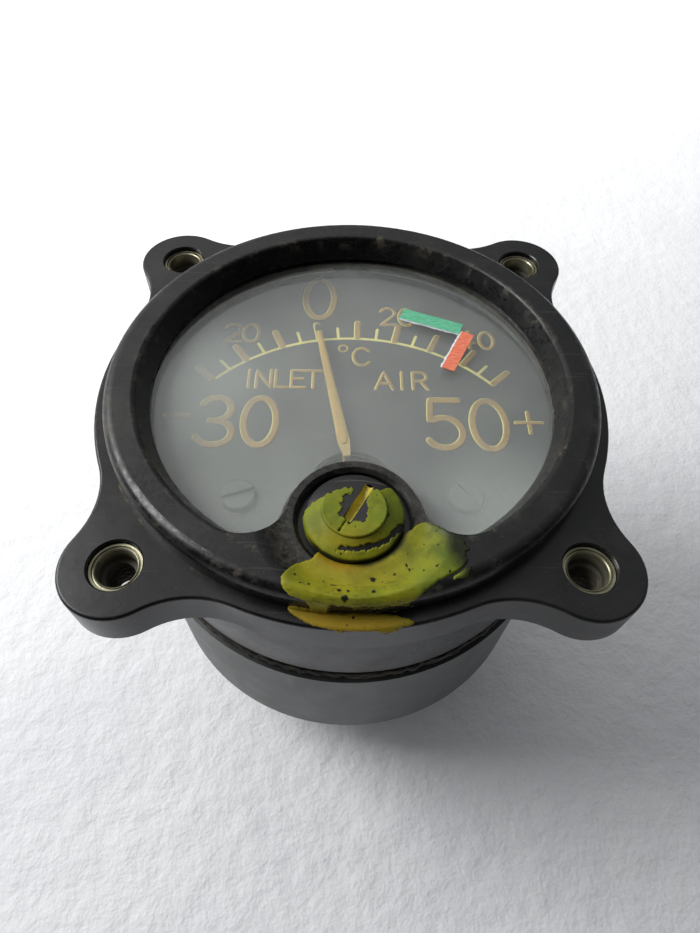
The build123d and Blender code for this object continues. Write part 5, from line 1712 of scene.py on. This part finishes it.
@dataclass
class Studio:
    """Pale floor, soft light and the camera of the photograph."""

    floor_level: float = -56.85
    floor_reach: float = 3000.0
    lamp_place: tuple[float, float, float] = (-300.0, 70.0, 270.0)
    lamp_size: float = 200.0
    lamp_power: float = 1.5
    # The camera's tip, side turn and roll, the point it aims at and its distance
    aim: tuple[float, float, float] = (55.086, -1.654, 1.873)
    target: tuple[float, float, float] = (-0.358, -11.543, 0.0)
    distance: float = 70.698
    # Focal length and picture height in pixels
    focal_length: float = 645.32
    picture_height: float = 933.0
    sensor: float = 36.0

    def build_floor(self) -> None:
        """A wide pale floor with a fine uneven surface."""
        mesh = bpy.data.meshes.new("floor")
        reach, level = self.floor_reach * MM, self.floor_level * MM
        square = [(x * reach, y * reach, level) for x, y in ((-1, -1), (1, -1), (1, 1), (-1, 1))]
        mesh.from_pydata(square, [], [(0, 1, 2, 3)])
        floor = bpy.data.objects.new("floor", mesh)
        bpy.context.scene.collection.objects.link(floor)
        made = bpy.data.materials.new("floor_white")
        made.use_nodes = True
        w = Wiring(made.node_tree)
        place = w.place()
        stains = w.sharpen(w.noise(place, 30.0, 3.0), 0.3, 0.7)
        uneven = {"Height": w.noise(place, 260.0, 6.0, 0.6), "Distance": 0.0012, "Strength": 0.6}
        # Far and to the left the floor runs out to plain white, for the camera and in reflections
        path = w.add("LightPath").outputs
        mirrored = w.reckon("MAXIMUM", path["Is Glossy Ray"], path["Is Transmission Ray"])
        seen = w.reckon("MAXIMUM", path["Is Camera Ray"], mirrored)
        far_left = w.sharpen(w.facing(place, (-0.3, 0.95, 0.0)), -0.06, 0.2)
        shader = w.add("BsdfPrincipled", {
            "Base Color": w.mix(stains, tint(228, 229, 232), tint(236, 237, 239)),
            "Roughness": 0.85,
            "Normal": w.add("Bump", uneven).outputs[0],
            "Emission Color": (1.0, 1.0, 1.0, 1.0),
            "Emission Strength": w.times(far_left, seen, 0.6),
        })
        w.add("OutputMaterial", {0: shader.outputs[0]})
        mesh.materials.append(made)
        floor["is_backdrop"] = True

    def build_lights(self) -> None:
        """A soft lamp from the left, and air that is bright to the upper left and dim elsewhere."""
        data = bpy.data.lights.new("window_light", "AREA")
        data.size = self.lamp_size * MM
        data.energy = self.lamp_power
        lamp = bpy.data.objects.new("window_light", data)
        lamp.location = Vector(self.lamp_place) * MM
        lamp.rotation_mode = "QUATERNION"
        lamp.rotation_quaternion = (-lamp.location).to_track_quat("-Z", "Y")
        bpy.context.scene.collection.objects.link(lamp)
        world = bpy.data.worlds.new("studio_air")
        world.use_nodes = True
        w = Wiring(world.node_tree)
        direction = w.add("TexCoord").outputs["Generated"]
        pale = w.sharpen(w.facing(direction, (0.6, 0.45, 0.66)), 0.6, 1.0)
        bright = w.sharpen(w.facing(direction, (-0.5, 0.5, 0.707)), 0.52, 0.96)
        tone = w.mix(pale, tint(40, 41, 44), tint(158, 160, 164))
        tone = w.mix(bright, tone, tint(254, 255, 255))
        w.add("OutputWorld", {0: w.add("Background", {0: tone, 1: 1.0}).outputs[0]})
        bpy.context.scene.world = world

    def build_camera(self) -> None:
        """The camera, placed and turned as the photograph's hole circle and rims give it."""
        tip, side, roll = np.radians(self.aim)
        back = np.array([np.sin(side) * np.cos(tip), -np.cos(side) * np.cos(tip), np.sin(tip)])
        right = np.array([np.cos(side), np.sin(side), 0.0])
        up = np.cross(back, right)
        turned_right = right * np.cos(roll) + up * np.sin(roll)
        turned_up = -right * np.sin(roll) + up * np.cos(roll)
        place = (np.array(self.target) + back * self.distance) * MM
        data = bpy.data.cameras.new("photo_camera")
        data.sensor_width = self.sensor
        data.lens = self.focal_length * self.sensor / self.picture_height
        data.clip_start = 0.005
        camera = bpy.data.objects.new("photo_camera", data)
        matrix = np.eye(4)
        matrix[:3] = np.stack([turned_right, turned_up, back, place], -1)
        camera.matrix_world = Matrix(matrix.tolist())
        bpy.context.scene.collection.objects.link(camera)
        bpy.context.scene.camera = camera

    def build(self) -> None:
        """Sets up the studio."""
        self.build_floor()
        self.build_lights()
        self.build_camera()
        bpy.context.scene.view_settings.view_transform = "Standard"


def dress_nodes() -> None:
    """Gives every node of the frame the finish of its material slot."""
    for name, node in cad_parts.items():
        for slot in node.material_slots:
            finish = Finishes.by_node.get(name, Finishes.by_slot[slot.material.name])
            slot.material = finish.material()
    log.info("%d nodes dressed", len(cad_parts))


def corners() -> list[list[float]]:
    """The object's box as plain lists."""
    return [[float(value) for value in corner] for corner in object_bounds()]


def main() -> None:
    """Builds and dresses the indicator."""
    logging.basicConfig(level=logging.INFO, format="%(message)s")
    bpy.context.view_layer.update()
    dress_nodes()
    parts = (DialPrint(), PointerPaint(), LacquerSpill(), GlassHazeAndPaintedVeil(), RangeMarkEdges(), BodySeam())
    for part in parts + (Threads(), Studio()):
        part.build()
    bpy.context.view_layer.update()
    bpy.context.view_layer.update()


if __name__ == "__main__":
    main()
